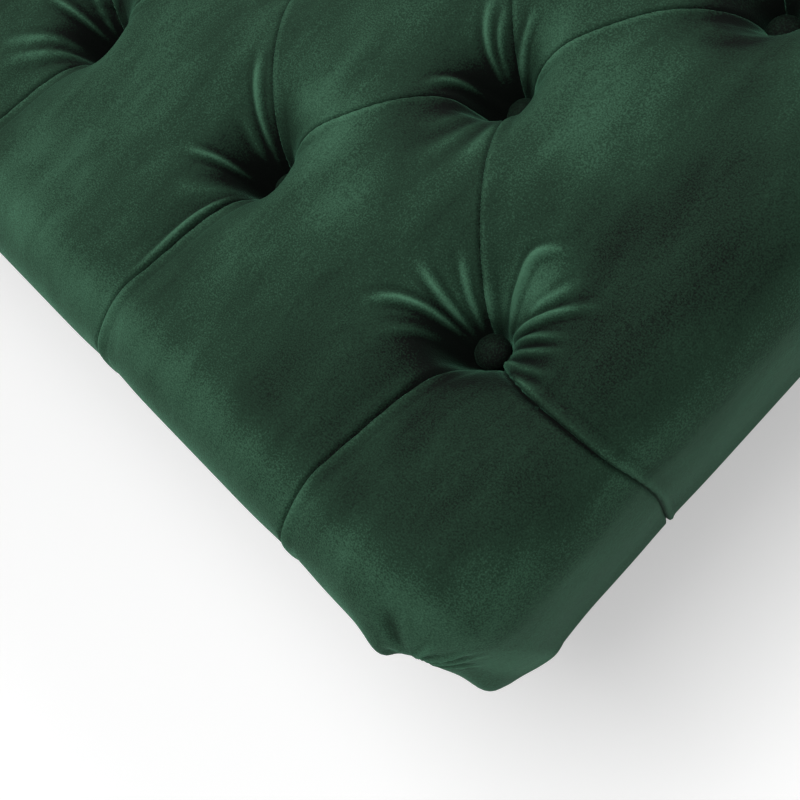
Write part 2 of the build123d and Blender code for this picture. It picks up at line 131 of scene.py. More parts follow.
def button_grid(first, count):
    """Places of the buttons along and across a face, every other row shifted by half a pitch."""
    places = []
    for row in range(-2, 3):
        shifted = row % 2 == 1
        for step in range(count - 1 if shifted else count):
            places.append((first + step * PITCH + (PITCH / 2 if shifted else 0.0), row * ROW))
    return np.array(places)


seat_buttons = button_grid(FIRST, 7)
back_buttons = button_grid(FIRST_ON_BACK, 2)
print(len(seat_buttons), "buttons on the seat and", len(back_buttons), "on the back")

# %% [markdown]
# ## How stuffed cloth falls
# A tuft could be made with a cloth simulation, with sculpting, or with a formula. Here each pleat and
# wrinkle has to lie where the photograph shows it, so the cloth is a relief: it is described flat, with u
# along the seat and v across it, and every effect is a height above that plane. Later the flat cloth is
# bent over the foam, and the heights push it in or out. Two curves do most of the work: the round shoulder
# of a pillow, and a smooth step.

# %% Shoulder and step
def pillow_fall(distance, inner, outer):
    """1 at the inner distance, 0 at the outer one, falling like the round shoulder of a pillow."""
    s = 1.0 - np.clip((distance - inner) / (outer - inner), 0.0, 1.0)
    return 1.0 - np.sqrt(np.maximum(1.0 - s * s, 0.0))


def smooth(value, low, high):
    """0 below low, 1 above high, and a smooth step between them."""
    s = np.clip((value - low) / (high - low), 0.0, 1.0)
    return s * s * (3.0 - 2.0 * s)


def between(pair, share):
    """A value between the two of a pair."""
    return pair[0] + (pair[1] - pair[0]) * share


shoulder = pillow_fall(np.linspace(0.0, 0.75, 4), 0.0, 1.0)
print("shoulder at 0, 25, 50 and 75 %:", np.round(shoulder, 2).tolist())

# %% [markdown]
# ## Lines on the cloth
# Pleats and wrinkles are lines. A Bezier curve object would do, but the relief needs to know how far each
# place of the cloth is from the line. So a line is a row of points on a soft curve. One helper finds the
# nearest place on it, on which side that lies, and how far along. Another skips the cloth that is far off.

# %% Lines
def bowed(points, steps=6):
    """A soft curve through a few points, as a line of many points."""
    points = np.array(points, float)
    padded = np.vstack([2 * points[0] - points[1], points, 2 * points[-1] - points[-2]])
    t = np.linspace(0.0, 1.0, steps, endpoint=False)[:, None]
    curve = []
    for a, b, c, d in zip(padded[:-3], padded[1:-2], padded[2:-1], padded[3:]):
        square, cube = (2 * a - 5 * b + 4 * c - d) * t**2, (3 * b - a - 3 * c + d) * t**3
        curve.append(0.5 * (2 * b + (c - a) * t + square + cube))
    return np.vstack(curve + [points[-1:]])


def nearest_on_line(points, u, v):
    """Signed distance to a line of points, the share of its length, and the side normal there."""
    best = np.full(u.shape, np.inf)
    offset, along = np.zeros_like(u), np.zeros_like(u)
    normal_u, normal_v = np.zeros_like(u), np.zeros_like(u)
    steps = np.diff(points, axis=0)
    lengths = np.hypot(steps[:, 0], steps[:, 1])
    total = lengths.sum()
    done = 0.0
    for start, step, length in zip(points[:-1], steps, lengths):
        direction = step / length
        du, dv = u - start[0], v - start[1]
        t = np.clip(du * direction[0] + dv * direction[1], 0.0, length)
        px, py = du - t * direction[0], dv - t * direction[1]
        dist = np.hypot(px, py)
        closer = dist < best
        side = np.where(-px * direction[1] + py * direction[0] < 0, -1.0, 1.0)
        best = np.where(closer, dist, best)
        offset = np.where(closer, dist * side, offset)
        along = np.where(closer, (done + t) / total, along)
        normal_u = np.where(closer, -direction[1], normal_u)
        normal_v = np.where(closer, direction[0], normal_v)
        done += length
    return offset, along, (normal_u, normal_v)


def close_to(points, reach, u, v):
    """Which places lie within reach of the box round a line."""
    low, high = points.min(0) - reach, points.max(0) + reach
    return (u > low[0]) & (u < high[0]) & (v > low[1]) & (v < high[1])


print("a bowed line through three points has", len(bowed([(0, 0), (5, 1), (10, 0)])), "points")

# %% [markdown]
# ## A list of what shapes the cloth
# The maker's marks on one cloth are kept together: a dip for each button, a crease for each pleat, a ridge
# for each wrinkle, a dent where the stuffing is fuller or thinner, and a spot of tone, which is brushed pile
# in some places and painted light and shade in others. They could be separate lists. One small class keeps
# seat and back apart with the same words.

# %% Relief
class Relief:
    """Everything that shapes one flat cloth."""

    def __init__(self):
        self.dips, self.creases, self.ridges, self.dents, self.strokes = [], [], [], [], []

    def dip(self, place, depth, reach, near_reach, near_angle, near_inner=TUFT_INNER):
        """A tuft. On its near side the pillow comes closer to the button, or opens further."""
        self.dips.append((np.array(place, float), depth, reach, near_reach, near_angle, near_inner))

    def crease(self, points, lip, one_end=False, fade=1.0):
        """A pleat along a line. lip is the side that lies over the other, one_end a pleat with a free end."""
        self.creases.append((bowed(points), lip, one_end, fade))

    def ridge(self, points, width, height):
        """A wrinkle, highest near its start."""
        self.ridges.append((bowed(points), width, height))

    def dent(self, place, radius, height):
        """A soft hollow or swelling of the stuffing."""
        self.dents.append((np.array(place, float), radius, height))

    def stroke(self, place, radius, tone):
        """A spot painted paler or darker: brushed pile in some places, painted light and shade in others."""
        self.strokes.append((np.array(place, float), radius, tone))


seat_relief, back_relief = Relief(), Relief()
print("empty reliefs for", len((seat_relief, back_relief)), "cloths")

# %% [markdown]
# ## Tufts
# A button pulls the cloth down through the foam, and the pillow round it has a round shoulder. The tuft is
# that shoulder turned round the button. On the side towards the viewer the pillow of the photograph stands
# closer to the button, so the shoulder may have another reach there.

# %% Depth of the tufts
def dip_depth(relief, u, v):
    """Depth of the deepest tuft at each place."""
    total = np.zeros_like(u)
    for place, depth, reach, near_reach, near_angle, near_inner in relief.dips:
        du, dv = u - place[0], v - place[1]
        r = np.hypot(du, dv)
        close = r < max(reach, near_reach)
        share = (0.5 + 0.5 * np.cos(np.arctan2(dv[close], du[close]) - near_angle)) ** 2
        outer = between((reach, near_reach), share)
        inner = between((TUFT_INNER, near_inner), share)
        part = depth * pillow_fall(r[close], inner, outer)
        total[close] = np.maximum(total[close], part)
    return total


seat_relief.dip((0.0, 0.0), TUFT_FLOOR, TUFT_REACH, 60.0, np.pi)
tuft = dip_depth(seat_relief, np.array([0.0, 30.0, 60.0]), np.zeros(3))
print("tuft depth at 0, 30 and 60 mm:", np.round(tuft, 1).tolist())
seat_relief.dips.clear()

# %% [markdown]
# ## Pleats
# Between two buttons the spare cloth is folded into a pleat. It could be cut as a real fold in the mesh.
# As a relief it has three parts: a soft valley, a fine cut along the line, and on one side a rolled lip
# that is pulled a little over the cut. All three are strongest at the buttons, so each pair of sizes below
# is the one half way along a pleat and the one at its button.

# %% Depth of the pleats
PLEAT_REACH = 70.0
VALLEY_WIDTH, VALLEY_DEPTH = (22.0, 18.0), (1.8, 16.8)
OVER_WIDTH, UNDER_WIDTH, CUT_DEPTH = (0.9, 2.1), (1.2, 3.2), (2.4, 6.0)
LIP_HEIGHT, LIP_PLACE, LIP_WIDTH = (1.0, 1.4), 2.7, 1.4
SECOND_DEPTH, SECOND_PLACE, SECOND_WIDTH = 0.6, 8.0, 1.6
PULL, PULL_START, PULL_REACH = 1.3, 1.8, 4.0


def crease_depth(relief, u, v):
    """Depth of the soft valleys, depth of the fine cuts in them, and the sideways pull."""
    valley, cut = np.zeros_like(u), np.zeros_like(u)
    pull_u, pull_v = np.zeros_like(u), np.zeros_like(u)
    for points, lip, one_end, fade in relief.creases:
        close = close_to(points, PLEAT_REACH, u, v)
        if not close.any():
            continue
        offset, along, normal = nearest_on_line(points, u[close], v[close])
        strength = (1.0 - along if one_end else np.abs(2.0 * along - 1.0)) ** 3
        weaker = 1.0 - (1.0 - fade) * smooth(along, 0.3, 0.8) if one_end else 1.0
        soft = between(VALLEY_DEPTH, strength) * np.exp(-((offset / between(VALLEY_WIDTH, strength)) ** 2))
        over = offset * lip > 0
        width = np.where(over, between(OVER_WIDTH, strength), between(UNDER_WIDTH, strength))
        fine = between(CUT_DEPTH, strength) * np.exp(-((offset / width) ** 2))
        roll = between(LIP_HEIGHT, strength) * np.exp(-((np.abs(offset) - LIP_PLACE) / LIP_WIDTH) ** 2)
        second = SECOND_DEPTH * np.exp(-((np.abs(offset) - SECOND_PLACE) / SECOND_WIDTH) ** 2)
        fine = np.where(over, fine - roll + second * smooth(strength, 0.0, 0.2), fine)
        valley[close] = np.maximum(valley[close], soft * weaker)
        cut[close] = np.where(np.abs(fine) > np.abs(cut[close]), fine, cut[close])
        pull = -lip * PULL * smooth(offset * lip, 0.0, PULL_START) * np.exp(-(offset / PULL_REACH) ** 2)
        pull_u[close] += pull * normal[0]
        pull_v[close] += pull * normal[1]
    return valley, cut, pull_u, pull_v


seat_relief.crease([(0.0, 0.0), (88.0, 0.0)], 1)
valley, cut, *_ = crease_depth(seat_relief, np.array([0.0, 44.0]), np.zeros(2))
print("pleat at the button and half way, in mm:", np.round(valley + cut, 1).tolist())
seat_relief.creases.clear()

# %% [markdown]
# ## Wrinkles
# Round a button the cloth gathers into short wrinkles. Each one is a ridge that widens and dies out along
# its line, with a shallow groove on both sides. On velvet a wrinkle catches the light as a pale stroke, and
# that paleness is painted into the colour later, as a painted highlight.

# %% Height of the wrinkles
RIDGE_REACH = 5.0
RIDGE_WIDENING = (0.6, 1.2)
GROOVE_DEPTH, GROOVE_PLACE, GROOVE_WIDTH = 0.35, 1.7, 0.7


def ridge_height(relief, u, v):
    """Height of all wrinkles at each place."""
    total = np.zeros_like(u)
    for points, width, height in relief.ridges:
        close = close_to(points, RIDGE_REACH * width, u, v)
        if not close.any():
            continue
        offset, along, _ = nearest_on_line(points, u[close], v[close])
        x = np.abs(offset) / (width * between(RIDGE_WIDENING, along))
        fade = (0.5 + 0.5 * smooth(along, 0.0, 0.2)) * (1.0 - smooth(along, 0.4, 1.0))
        groove = GROOVE_DEPTH * np.exp(-((x - GROOVE_PLACE) / GROOVE_WIDTH) ** 2)
        total[close] += height * fade * (np.exp(-1.2 * x**1.4) - groove)
    return total


seat_relief.ridge([(0.0, 0.0), (40.0, 0.0)], 3.0, 3.0)
wrinkle = ridge_height(seat_relief, np.linspace(0.0, 40.0, 5), np.zeros(5))
print("height along a wrinkle:", np.round(wrinkle, 1).tolist())
seat_relief.ridges.clear()

# %% [markdown]
# ## All heights together
# Tuft and pleat are blended by the root of their squares, so that a pleat runs into its tuft without a
# step. The same call also works out a tone for the colour: painted highlights on ridges and lips, painted
# shade in cuts and hollows, a painted shadow in the pits, and the spots of brushed pile and painted light
# from the list. A painted texture could hold that too. A value at each vertex follows the relief by itself.

# %% Cloth height
# Painted highlights on ridges and lips, painted shade in cuts and hollows, a painted shadow in pits.
RIDGE_PAINTED_HIGHLIGHT, LIP_PAINTED_HIGHLIGHT, CUT_PAINTED_SHADE = 0.36, 0.3, 0.2
HOLLOW_PAINTED_SHADE, PIT_PAINTED_SHADOW = 0.4, 0.8


def soft_spots(spots, u, v):
    """The sum of soft round spots, each with a place, a radius and an amount."""
    total = np.zeros_like(u)
    for place, radius, amount in spots:
        r = np.hypot(u - place[0], v - place[1]) / radius
        total += amount * np.exp(-r * r)
    return total


def cloth_height(relief, u, v):
    """Height above the flat cloth, how far the pleats pull it sideways, and its tone with painted light and
    shade.
    """
    dip = dip_depth(relief, u, v)
    valley, cut, pull_u, pull_v = crease_depth(relief, u, v)
    ridges = ridge_height(relief, u, v)
    dents = soft_spots(relief.dents, u, v)
    height = ridges + dents - np.sqrt(dip**2 + valley**2) - cut
    # The tone: painted highlights on ridges and rolled lips, painted shade in cuts and hollows, a painted
    # shadow in pits.
    pile_and_painted_light = RIDGE_PAINTED_HIGHLIGHT * ridges - CUT_PAINTED_SHADE * np.maximum(cut, 0.0) - LIP_PAINTED_HIGHLIGHT * np.minimum(cut, 0.0)
    pile_and_painted_light -= HOLLOW_PAINTED_SHADE * smooth(dip, 4.0, 22.0)
    pile_and_painted_light -= PIT_PAINTED_SHADOW * smooth(dip - np.minimum(dents, 0.0), 24.0, 44.0)
    pile_and_painted_light += soft_spots(relief.strokes, u, v)
    return height, pull_u, pull_v, np.clip(pile_and_painted_light, -1.0, 1.0)


print("height of an empty cloth:", float(cloth_height(seat_relief, np.zeros(1), np.zeros(1))[0][0]))

# %% [markdown]
# ## Vertices on the pleats
# A fold is crisp only when a row of vertices lies on it. A very fine grid would do that at a high price.
# Here vertices that lie close to a pleat move onto it, and the mesh keeps its even spacing elsewhere.

# %% Vertices on the pleats
SNAP_REACH = 4.0
SNAP_SHARE = 0.55


def snap_to_pleats(relief, u, v, spacing):
    """Moves flat places that lie close to a pleat onto it, so that its line is crisp."""
    u, v = u.copy(), v.copy()
    on_line = np.zeros(len(u), bool)
    for points, *_ in relief.creases:
        close = np.flatnonzero(close_to(points, SNAP_REACH, u, v))
        if len(close) == 0:
            continue
        offset, along, normal = nearest_on_line(points, u[close], v[close])
        fits = (np.abs(offset) < SNAP_SHARE * spacing[close]) & (along > 0.0) & (along < 1.0)
        u[close[fits]] -= offset[fits] * normal[0][fits]
        v[close[fits]] -= offset[fits] * normal[1][fits]
        on_line[close[fits]] = True
    return u, v, on_line


moved = snap_to_pleats(seat_relief, np.zeros(3), np.zeros(3), np.ones(3))[2]
print("no pleats yet, so", int(moved.sum()), "places moved")

# %% [markdown]
# ## The seat's tufts
# Buttons in neighbouring rows are joined by diagonal pleats, which make the diamonds. No two tufts of a
# real seat are alike: each pleat is bowed a little, and the wrinkles differ. A fixed seed gives that
# difference, and it gives the same chaise longue at each run.

# %% Pleats and scattered wrinkles
PLEAT_BOW = 3.5
WRINKLE_ANGLES = np.arange(0, 360, 36)
WRINKLE_LENGTHS, WRINKLE_WIDTHS, WRINKLE_HEIGHTS = (34, 66), (3.0, 5.0), (1.0, 3.2)
WRINKLE_TURN, WRINKLE_BEND = 12, 0.35
WRINKLE_STOPS = (0.2, 0.5, 0.8, 1.1)


def add_pleats(relief, buttons):
    """A pleat from each button to its neighbours in the next row, bowed a little."""
    for place in buttons:
        for other in buttons:
            step = other - place
            if abs(step[1] - ROW) < 1 and abs(abs(step[0]) - PITCH / 2) < 1:
                side = np.array([-step[1], step[0]]) / np.hypot(*step) * rng.uniform(-PLEAT_BOW, PLEAT_BOW)
                relief.crease([place, place + step * 0.5 + side, other], 1)


def scatter_ridges(relief, place):
    """Short wrinkles round a button, at random."""
    for angle in WRINKLE_ANGLES:
        turn = np.radians(angle + rng.uniform(-WRINKLE_TURN, WRINKLE_TURN))
        bend = rng.uniform(-WRINKLE_BEND, WRINKLE_BEND)
        length = rng.uniform(*WRINKLE_LENGTHS)
        points = [place + s * length * np.array([np.cos(turn + bend * s), np.sin(turn + bend * s)])
                  for s in WRINKLE_STOPS]
        relief.ridge(points, rng.uniform(*WRINKLE_WIDTHS), rng.uniform(*WRINKLE_HEIGHTS))


print("wrinkles that a button gets at random:", len(WRINKLE_ANGLES))

# %% [markdown]
# ## The photographed corner
# Five tufts can be seen up close, so their wrinkles are set one by one instead of at random. They fan out
# from the button like the rays of a shell, so each has a kind, the angles where it starts and ends (0 points
# to the head, 90 to the left), a bow, and its near and far distance. A kind is a width and a height. A first
# table says how the pillow stands round the same buttons: its reach, its reach on the near side, the angle
# of that side and the inner radius there.

# %% Wrinkles drawn one by one
CORNER_BUTTON, FOOT_BUTTON = (FIRST, 2 * ROW), (FIRST, 0.0)
SECOND_BUTTON, THIRD_BUTTON = (FIRST + PITCH, 2 * ROW), (FIRST + 2 * PITCH, 2 * ROW)
INNER_BUTTON = (FIRST + PITCH / 2, ROW)
near_sides = {
    CORNER_BUTTON: (88.0, 92.0, np.pi, 11.0),
    SECOND_BUTTON: (84.0, 44.0, -2.8, 7.5),
    INNER_BUTTON: (84.0, 47.0, -2.6, 7.5),
    THIRD_BUTTON: (84.0, 44.0, -2.8, 7.5),
    FOOT_BUTTON: (80.0, 60.0, np.pi, 8.0),
}
BOLD, FINE_LINE, WIDE, FAINT, SOFT = (2.8, 3.4), (2.5, 2.6), (4.5, 2.4), (3.4, 1.7), (6.0, 1.3)
wrinkle_fans = {
    CORNER_BUTTON: (
        (BOLD, -115, -110, 20, 15, 65), (FAINT, -125, -125, 0, 30, 65), (BOLD, -135, -140, 0, 15, 75),
        (FINE_LINE, -150, -155, 0, 15, 60), (FINE_LINE, -170, -160, 0, 15, 60),
        (FINE_LINE, 175, 185, 0, 15, 60), (FAINT, 170, 175, 0, 35, 60), (BOLD, 15, 30, -5, 12, 65),
        (BOLD, 0, -10, 0, 12, 50), (FINE_LINE, -30, -40, 0, 12, 45), (FAINT, -60, -55, 0, 10, 30),
        (FAINT, 35, 45, 0, 15, 55),
    ),
    SECOND_BUTTON: (
        (BOLD, 35, 30, 0, 15, 55), (FAINT, 0, -20, -5, 12, 40), (BOLD, -30, -48, 0, 12, 75),
        (FINE_LINE, 80, 86, 0, 25, 115), (SOFT, 70, 60, 0, 20, 60),
    ),
    INNER_BUTTON: (
        (BOLD, 20, 45, 0, 12, 50), (BOLD, -10, -45, 0, 12, 55), (FINE_LINE, -25, -50, 0, 12, 45),
        (FINE_LINE, -65, -75, 0, 10, 45), (SOFT, 105, 90, 0, 20, 80), (SOFT, 125, 110, 0, 25, 70),
        (SOFT, 85, 75, 0, 20, 60),
    ),
    THIRD_BUTTON: (
        (BOLD, 5, 10, 0, 10, 55), (FINE_LINE, -20, -30, 0, 10, 40), (FINE_LINE, -45, -65, 0, 10, 40),
        (WIDE, 45, 50, 0, 12, 75), (WIDE, 65, 60, 0, 12, 75),
    ),
    FOOT_BUTTON: ((SOFT, 110, 60, 0, 25, 40),),
}


def fan_wrinkle(place, start, end, bow, near, far):
    """A wrinkle from its first and last angle, its bow in degrees, and its distances from the button."""
    share = np.linspace(0.0, 1.0, 4)
    turn = np.radians(between((start, end), share) + bow * np.sin(np.pi * share))
    reach = between((near, far), share)
    return place + np.stack([reach * np.cos(turn), reach * np.sin(turn)], -1)


print(sum(len(fan) for fan in wrinkle_fans.values()), "wrinkles drawn round", len(wrinkle_fans), "buttons")

# %% [markdown]
# ## Tufts on the whole seat
# Now every button gets its dip and its wrinkles, drawn or scattered, and every pair of neighbours its
# pleat. Four deeper dents are the pits beside the buttons near the viewer, each with a painted shadow.

# %% Seat tufts
PIT_STEP = np.array([10.0, 12.0])
PIT_RADIUS, PIT_DEPTH, PIT_SHADOW_RADIUS = 11.0, 24.0, 16.0
NEAR_REACHES = (54, 76)
for place in seat_buttons:
    key = tuple(place)
    if key in near_sides:
        seat_relief.dip(place, TUFT_FLOOR, *near_sides[key])
        for (width, height), *ray in wrinkle_fans[key]:
            seat_relief.ridge(fan_wrinkle(place, *ray), width, height)
    else:
        seat_relief.dip(place, TUFT_FLOOR, TUFT_REACH, rng.uniform(*NEAR_REACHES), rng.uniform(-np.pi, np.pi))
        scatter_ridges(seat_relief, place)
add_pleats(seat_relief, seat_buttons)
for place in (CORNER_BUTTON, SECOND_BUTTON, INNER_BUTTON, THIRD_BUTTON):
    seat_relief.dent(place + PIT_STEP, PIT_RADIUS, -PIT_DEPTH)
    # A painted shadow in each pit.
    seat_relief.stroke(place + PIT_STEP, PIT_SHADOW_RADIUS, -PIT_PAINTED_SHADOW)
print(len(seat_relief.dips), "tufts and", len(seat_relief.ridges), "wrinkles")
print(len(seat_relief.creases), "pleats from button to button")

# %% [markdown]
# ## Brushed pile and painted light
# Velvet keeps the mark of every hand. The patches of the photographed corner are soft round spots, paler
# above zero and darker below. Some are brushed pile; others are painted light and painted shade round the
# tufts. Noise alone gives patches too, but not in the right places, so it only adds to these.

# %% Brushed pile and painted light
for place, radius, tone in (
    ((100, 200), 20.0, 1.0), ((130, 225), 20.0, 0.9), ((280, 195), 25.0, 0.4), ((195, 90), 20.0, 0.5),
    ((390, 320), 45.0, 0.3), ((50, 280), 50.0, -0.4), ((125, 260), 25.0, -0.1), ((70, 130), 70.0, -0.4),
    ((400, 240), 40.0, 0.25), ((335, 170), 40.0, 0.1), ((230, 210), 35.0, 0.3), ((130, 110), 45.0, 0.6),
    ((110, 180), 30.0, 0.1), ((135, 295), 55.0, -0.2), ((50, 205), 35.0, -0.3), ((60, 320), 30.0, -0.2),
    ((115, 25), 20.0, -0.8), ((250, 280), 20.0, 0.2), ((95, 310), 20.0, 0.2), ((10, 320), 40.0, 0.2),
    ((290, 300), 40.0, -0.2), ((185, 330), 40.0, -0.1), ((215, 150), 30.0, -0.4),
):
    seat_relief.stroke(place, radius, tone)
print(len(seat_relief.strokes), "brushed patches")

# %% [markdown]
# ## Pleats over the edges
# The outer buttons send one pleat straight out over the edge and down to the hem, because there is no
# button beyond to take up the cloth. At the sides they drift a little towards the head, at the foot they
# bow a little, and at the head they run into the crease in front of the back. A path is a walk out from the
# button with the drift in millimetres, or with the share of the bow.

# %% Edge pleats
SIDE_REACH = HALF_WIDTH + 150.0
SIDE_DRIFT = 6
SIDE_PATH = ((0, 0), (40, 2), (100, SIDE_DRIFT), (140, SIDE_DRIFT))
FOOT_BOW, OTHER_FOOT_BOW = 11.0, 8.0
SIDE_FADE, FOOT_FADE, HEAD_FADE = 0.1, 0.35, 0.8
BULGE_BELOW_EDGE, BULGE_RADIUS, BULGE_HEIGHT = 4, 13.0, 2.6
FOOT_PATH = (
    (0, 0.0), (24, 0.55), (53, 0.95), (88, 1.0), (113, 0.85), (135, 0.5), (165, 0.15), (200, 0.0), (283, 0.0))
LAST = seat_buttons[:, 0].max()
for u, v in seat_buttons:
    if abs(v) == 2 * ROW:
        side = np.sign(v)
        points = [(u + drift, v + side * walk) for walk, drift in SIDE_PATH]
        seat_relief.crease([*points, (u + SIDE_DRIFT, side * SIDE_REACH)], side, True, SIDE_FADE)
        bulge = (u + SIDE_DRIFT, side * (HALF_WIDTH + BULGE_BELOW_EDGE))
        seat_relief.dent(bulge, BULGE_RADIUS, BULGE_HEIGHT)
    if u == FIRST:
        bow = FOOT_BOW if v == 2 * ROW else rng.uniform(-OTHER_FOOT_BOW, OTHER_FOOT_BOW)
        seat_relief.crease([(u - walk, v + share * bow) for walk, share in FOOT_PATH], 1, True, FOOT_FADE)
    if u == LAST:
        seat_relief.crease([(u, v), (u + 50, v + 1), (CREASE_X - FOOT_X + 40, v)], 1, True, HEAD_FADE)
print(len(seat_relief.creases), "pleats in all")

# %% [markdown]
# ## The edge of the slab
# The cloth lies flat in the middle, rolls over the edge, runs down the side with a slight draw, rolls again
# and turns in under the frame. One profile describes that walk outwards: how far out, how far down, and
# how steep. It is made of arcs and straight stretches, like the foam below.

# %% Edge profile
CORE_X = CORNER_R
CORE_Y = HALF_WIDTH - CORNER_R
FLAT = CORNER_R - EDGE_R
ROLL_ANGLE = np.radians(90.0) + SIDE_DRAW
ROLL_LENGTH = EDGE_R * ROLL_ANGLE
HEM_ANGLE = np.radians(180.0) - ROLL_ANGLE
SIDE_LENGTH = (
    CROWN_Z - HEM_Z - EDGE_R * (1 - np.cos(ROLL_ANGLE)) - HEM_R * (1 - np.cos(HEM_ANGLE))
) / np.cos(SIDE_DRAW)
HEM_LENGTH = HEM_R * HEM_ANGLE
SIDE_WALK = FLAT + ROLL_LENGTH + SIDE_LENGTH + HEM_LENGTH + HEM_WIDTH
CREASE_U = CREASE_X - FOOT_X


def edge_profile(walk):
    """Outward offset, drop and slope angle after walking this far from the core of the slab."""
    t = np.asarray(walk, float)
    roll = np.clip(t - FLAT, 0.0, ROLL_LENGTH)
    side = np.clip(t - FLAT - ROLL_LENGTH, 0.0, SIDE_LENGTH)
    hem = np.clip(t - FLAT - ROLL_LENGTH - SIDE_LENGTH, 0.0, HEM_LENGTH)
    under = np.clip(t - FLAT - ROLL_LENGTH - SIDE_LENGTH - HEM_LENGTH, 0.0, HEM_WIDTH)
    angle = roll / EDGE_R + hem / HEM_R
    first = roll / EDGE_R
    out = np.minimum(t, FLAT) + EDGE_R * np.sin(first) - side * np.sin(SIDE_DRAW)
    drop = EDGE_R * (1 - np.cos(first)) + side * np.cos(SIDE_DRAW)
    out = out + HEM_R * (np.sin(ROLL_ANGLE + hem / HEM_R) - np.sin(ROLL_ANGLE)) * (hem > 0)
    drop = drop + HEM_R * (np.cos(ROLL_ANGLE) - np.cos(ROLL_ANGLE + hem / HEM_R)) * (hem > 0)
    return out - under, drop, angle


print(f"the cloth walks {SIDE_WALK:.0f} mm from the slab's core to the end of its hem")

# %% [markdown]
# ## Bending the flat cloth
# A Curve modifier could bend a flat grid, but not over an edge and round a corner at once. Here each flat
# place walks along the profile. At a corner the walk fans out round a quarter circle. The relief then
# pushes the place in or out along the slab's own normal, and at the head the cloth turns in to the back.

# %% Bend
LEAN_START = 260.0
TURN_IN_START = 24.0
FACING_GAP = 0.5


def bend_over_slab(u, v, height, shift_u, shift_v):
    """The flat cloth at (u, v), pushed by its height, on the rounded slab. u runs from the foot bulge."""
    walk_u = np.maximum(CORE_X - u, 0.0)
    walk_v = np.maximum(np.abs(v) - CORE_Y, 0.0)
    walk = np.hypot(walk_u, walk_v)
    safe = np.maximum(walk, 1e-9)
    out_u, out_v = -walk_u / safe, np.sign(v) * walk_v / safe
    out, drop, angle = edge_profile(walk)
    x = np.maximum(u, CORE_X) + out_u * out
    y = np.clip(v, -CORE_Y, CORE_Y) + out_v * out
    radial = shift_u * out_u + shift_v * out_v
    across = -shift_u * out_v + shift_v * out_u
    flat = walk < 1e-6
    pushed_out = radial * np.cos(angle) + height * np.sin(angle)
    push_x = np.where(flat, shift_u, out_u * pushed_out - out_v * across)
    push_y = np.where(flat, shift_v, out_v * pushed_out + out_u * across)
    push_z = np.where(flat, height, height * np.cos(angle) - radial * np.sin(angle))
    z = CROWN_Z - drop
    lean_in = smooth(u, CREASE_U - LEAN_START, CREASE_U) * drop * np.tan(LEAN)
    y = y + push_y
    past_facing = np.maximum(np.abs(y) - FACING_INNER - FACING_GAP, 0.0)
    turned_in = past_facing * pillow_fall(CREASE_U - u, 0.0, TURN_IN_START)
    return np.stack([FOOT_X + x + push_x - lean_in, y - np.sign(y) * turned_in, z + push_z], -1)


left_edge = bend_over_slab(np.array([CREASE_U / 2]), np.array([HALF_WIDTH]), *np.zeros((3, 1)))
print("a place on the left edge, in mm:", np.round(left_edge[0], 1).tolist())

# %% [markdown]
# ## Grids and meshes
# A cloth is a grid, finer where the viewer is close. Quads that a pleat crosses from corner to corner are
# cut along it, so that the shading follows the fold. The mesh also carries its tone, brushed pile with
# painted light and shade, as one value at each vertex.

# %% Grid helpers
def spaced(stops):
    """Lines from stop to stop: each stop is (place, spacing up to it)."""
    lines = [np.array([stops[0][0]])]
    for (start, _), (end, spacing) in zip(stops[:-1], stops[1:]):
        count = max(int(round(abs(end - start) / spacing)), 1)
        lines.append(np.linspace(start, end, count + 1)[1:])
    return np.concatenate(lines)


def split_on_lines(quads, on_line):
    """Cuts quads whose opposite corners lie on a pleat, so that the cut follows the pleat."""
    on = on_line[quads]
    one = on[:, 0] & on[:, 2] & ~(on[:, 1] & on[:, 3])
    other = on[:, 1] & on[:, 3] & ~one
    faces = quads[~(one | other)].tolist()
    faces += quads[one][:, [0, 1, 2]].tolist() + quads[one][:, [0, 2, 3]].tolist()
    faces += quads[other][:, [0, 1, 3]].tolist() + quads[other][:, [1, 2, 3]].tolist()
    return faces


def grid_faces(rows, columns, first, flip=False):
    """Quads of a grid of points numbered row by row."""
    index = first + np.arange(rows * columns).reshape(rows, columns)
    quads = np.stack([index[:-1, :-1], index[1:, :-1], index[1:, 1:], index[:-1, 1:]], -1).reshape(-1, 4)
    return quads[:, ::-1] if flip else quads


def place_object(name, data):
    """A new object in the scene."""
    piece = bpy.data.objects.new(name, data)
    bpy.context.scene.collection.objects.link(piece)
    return piece


def mesh_object(name, points, faces, merge=0.0, pile_and_painted_light=None):
    """A mesh from points in millimetres, smooth shaded, with a value at each vertex for brushed pile and
    painted light.
    """
    mesh = bpy.data.meshes.new(name)
    mesh.from_pydata((np.asarray(points) * MM).tolist(), [], [list(face) for face in faces])
    if pile_and_painted_light is None:
        pile_and_painted_light = np.zeros(len(points))
    layer = mesh.attributes.new("pile_and_painted_light", "FLOAT", "POINT")
    layer.data.foreach_set("value", np.asarray(pile_and_painted_light, dtype=np.float32))
    if merge:
        work = bmesh.new()
        work.from_mesh(mesh)
        bmesh.ops.remove_doubles(work, verts=work.verts, dist=merge * MM)
        bmesh.ops.dissolve_degenerate(work, edges=work.edges, dist=merge * MM)
        bmesh.ops.recalc_face_normals(work, faces=work.faces)
        work.to_mesh(mesh)
        work.free()
    mesh.polygons.foreach_set("use_smooth", [True] * len(mesh.polygons))
    mesh.update()
    return place_object(name, mesh)


print("a line with a stop part way:", spaced([(0.0, 0), (4.0, 1.0), (10.0, 3.0)]).tolist())

# %% [markdown]
# ## Spacing of the seat's grid
# The photographed corner needs a vertex every 1.3 mm, or its wrinkles break up. The rest of the seat does
# with wider steps. One fine grid all over would be more than twice as heavy.

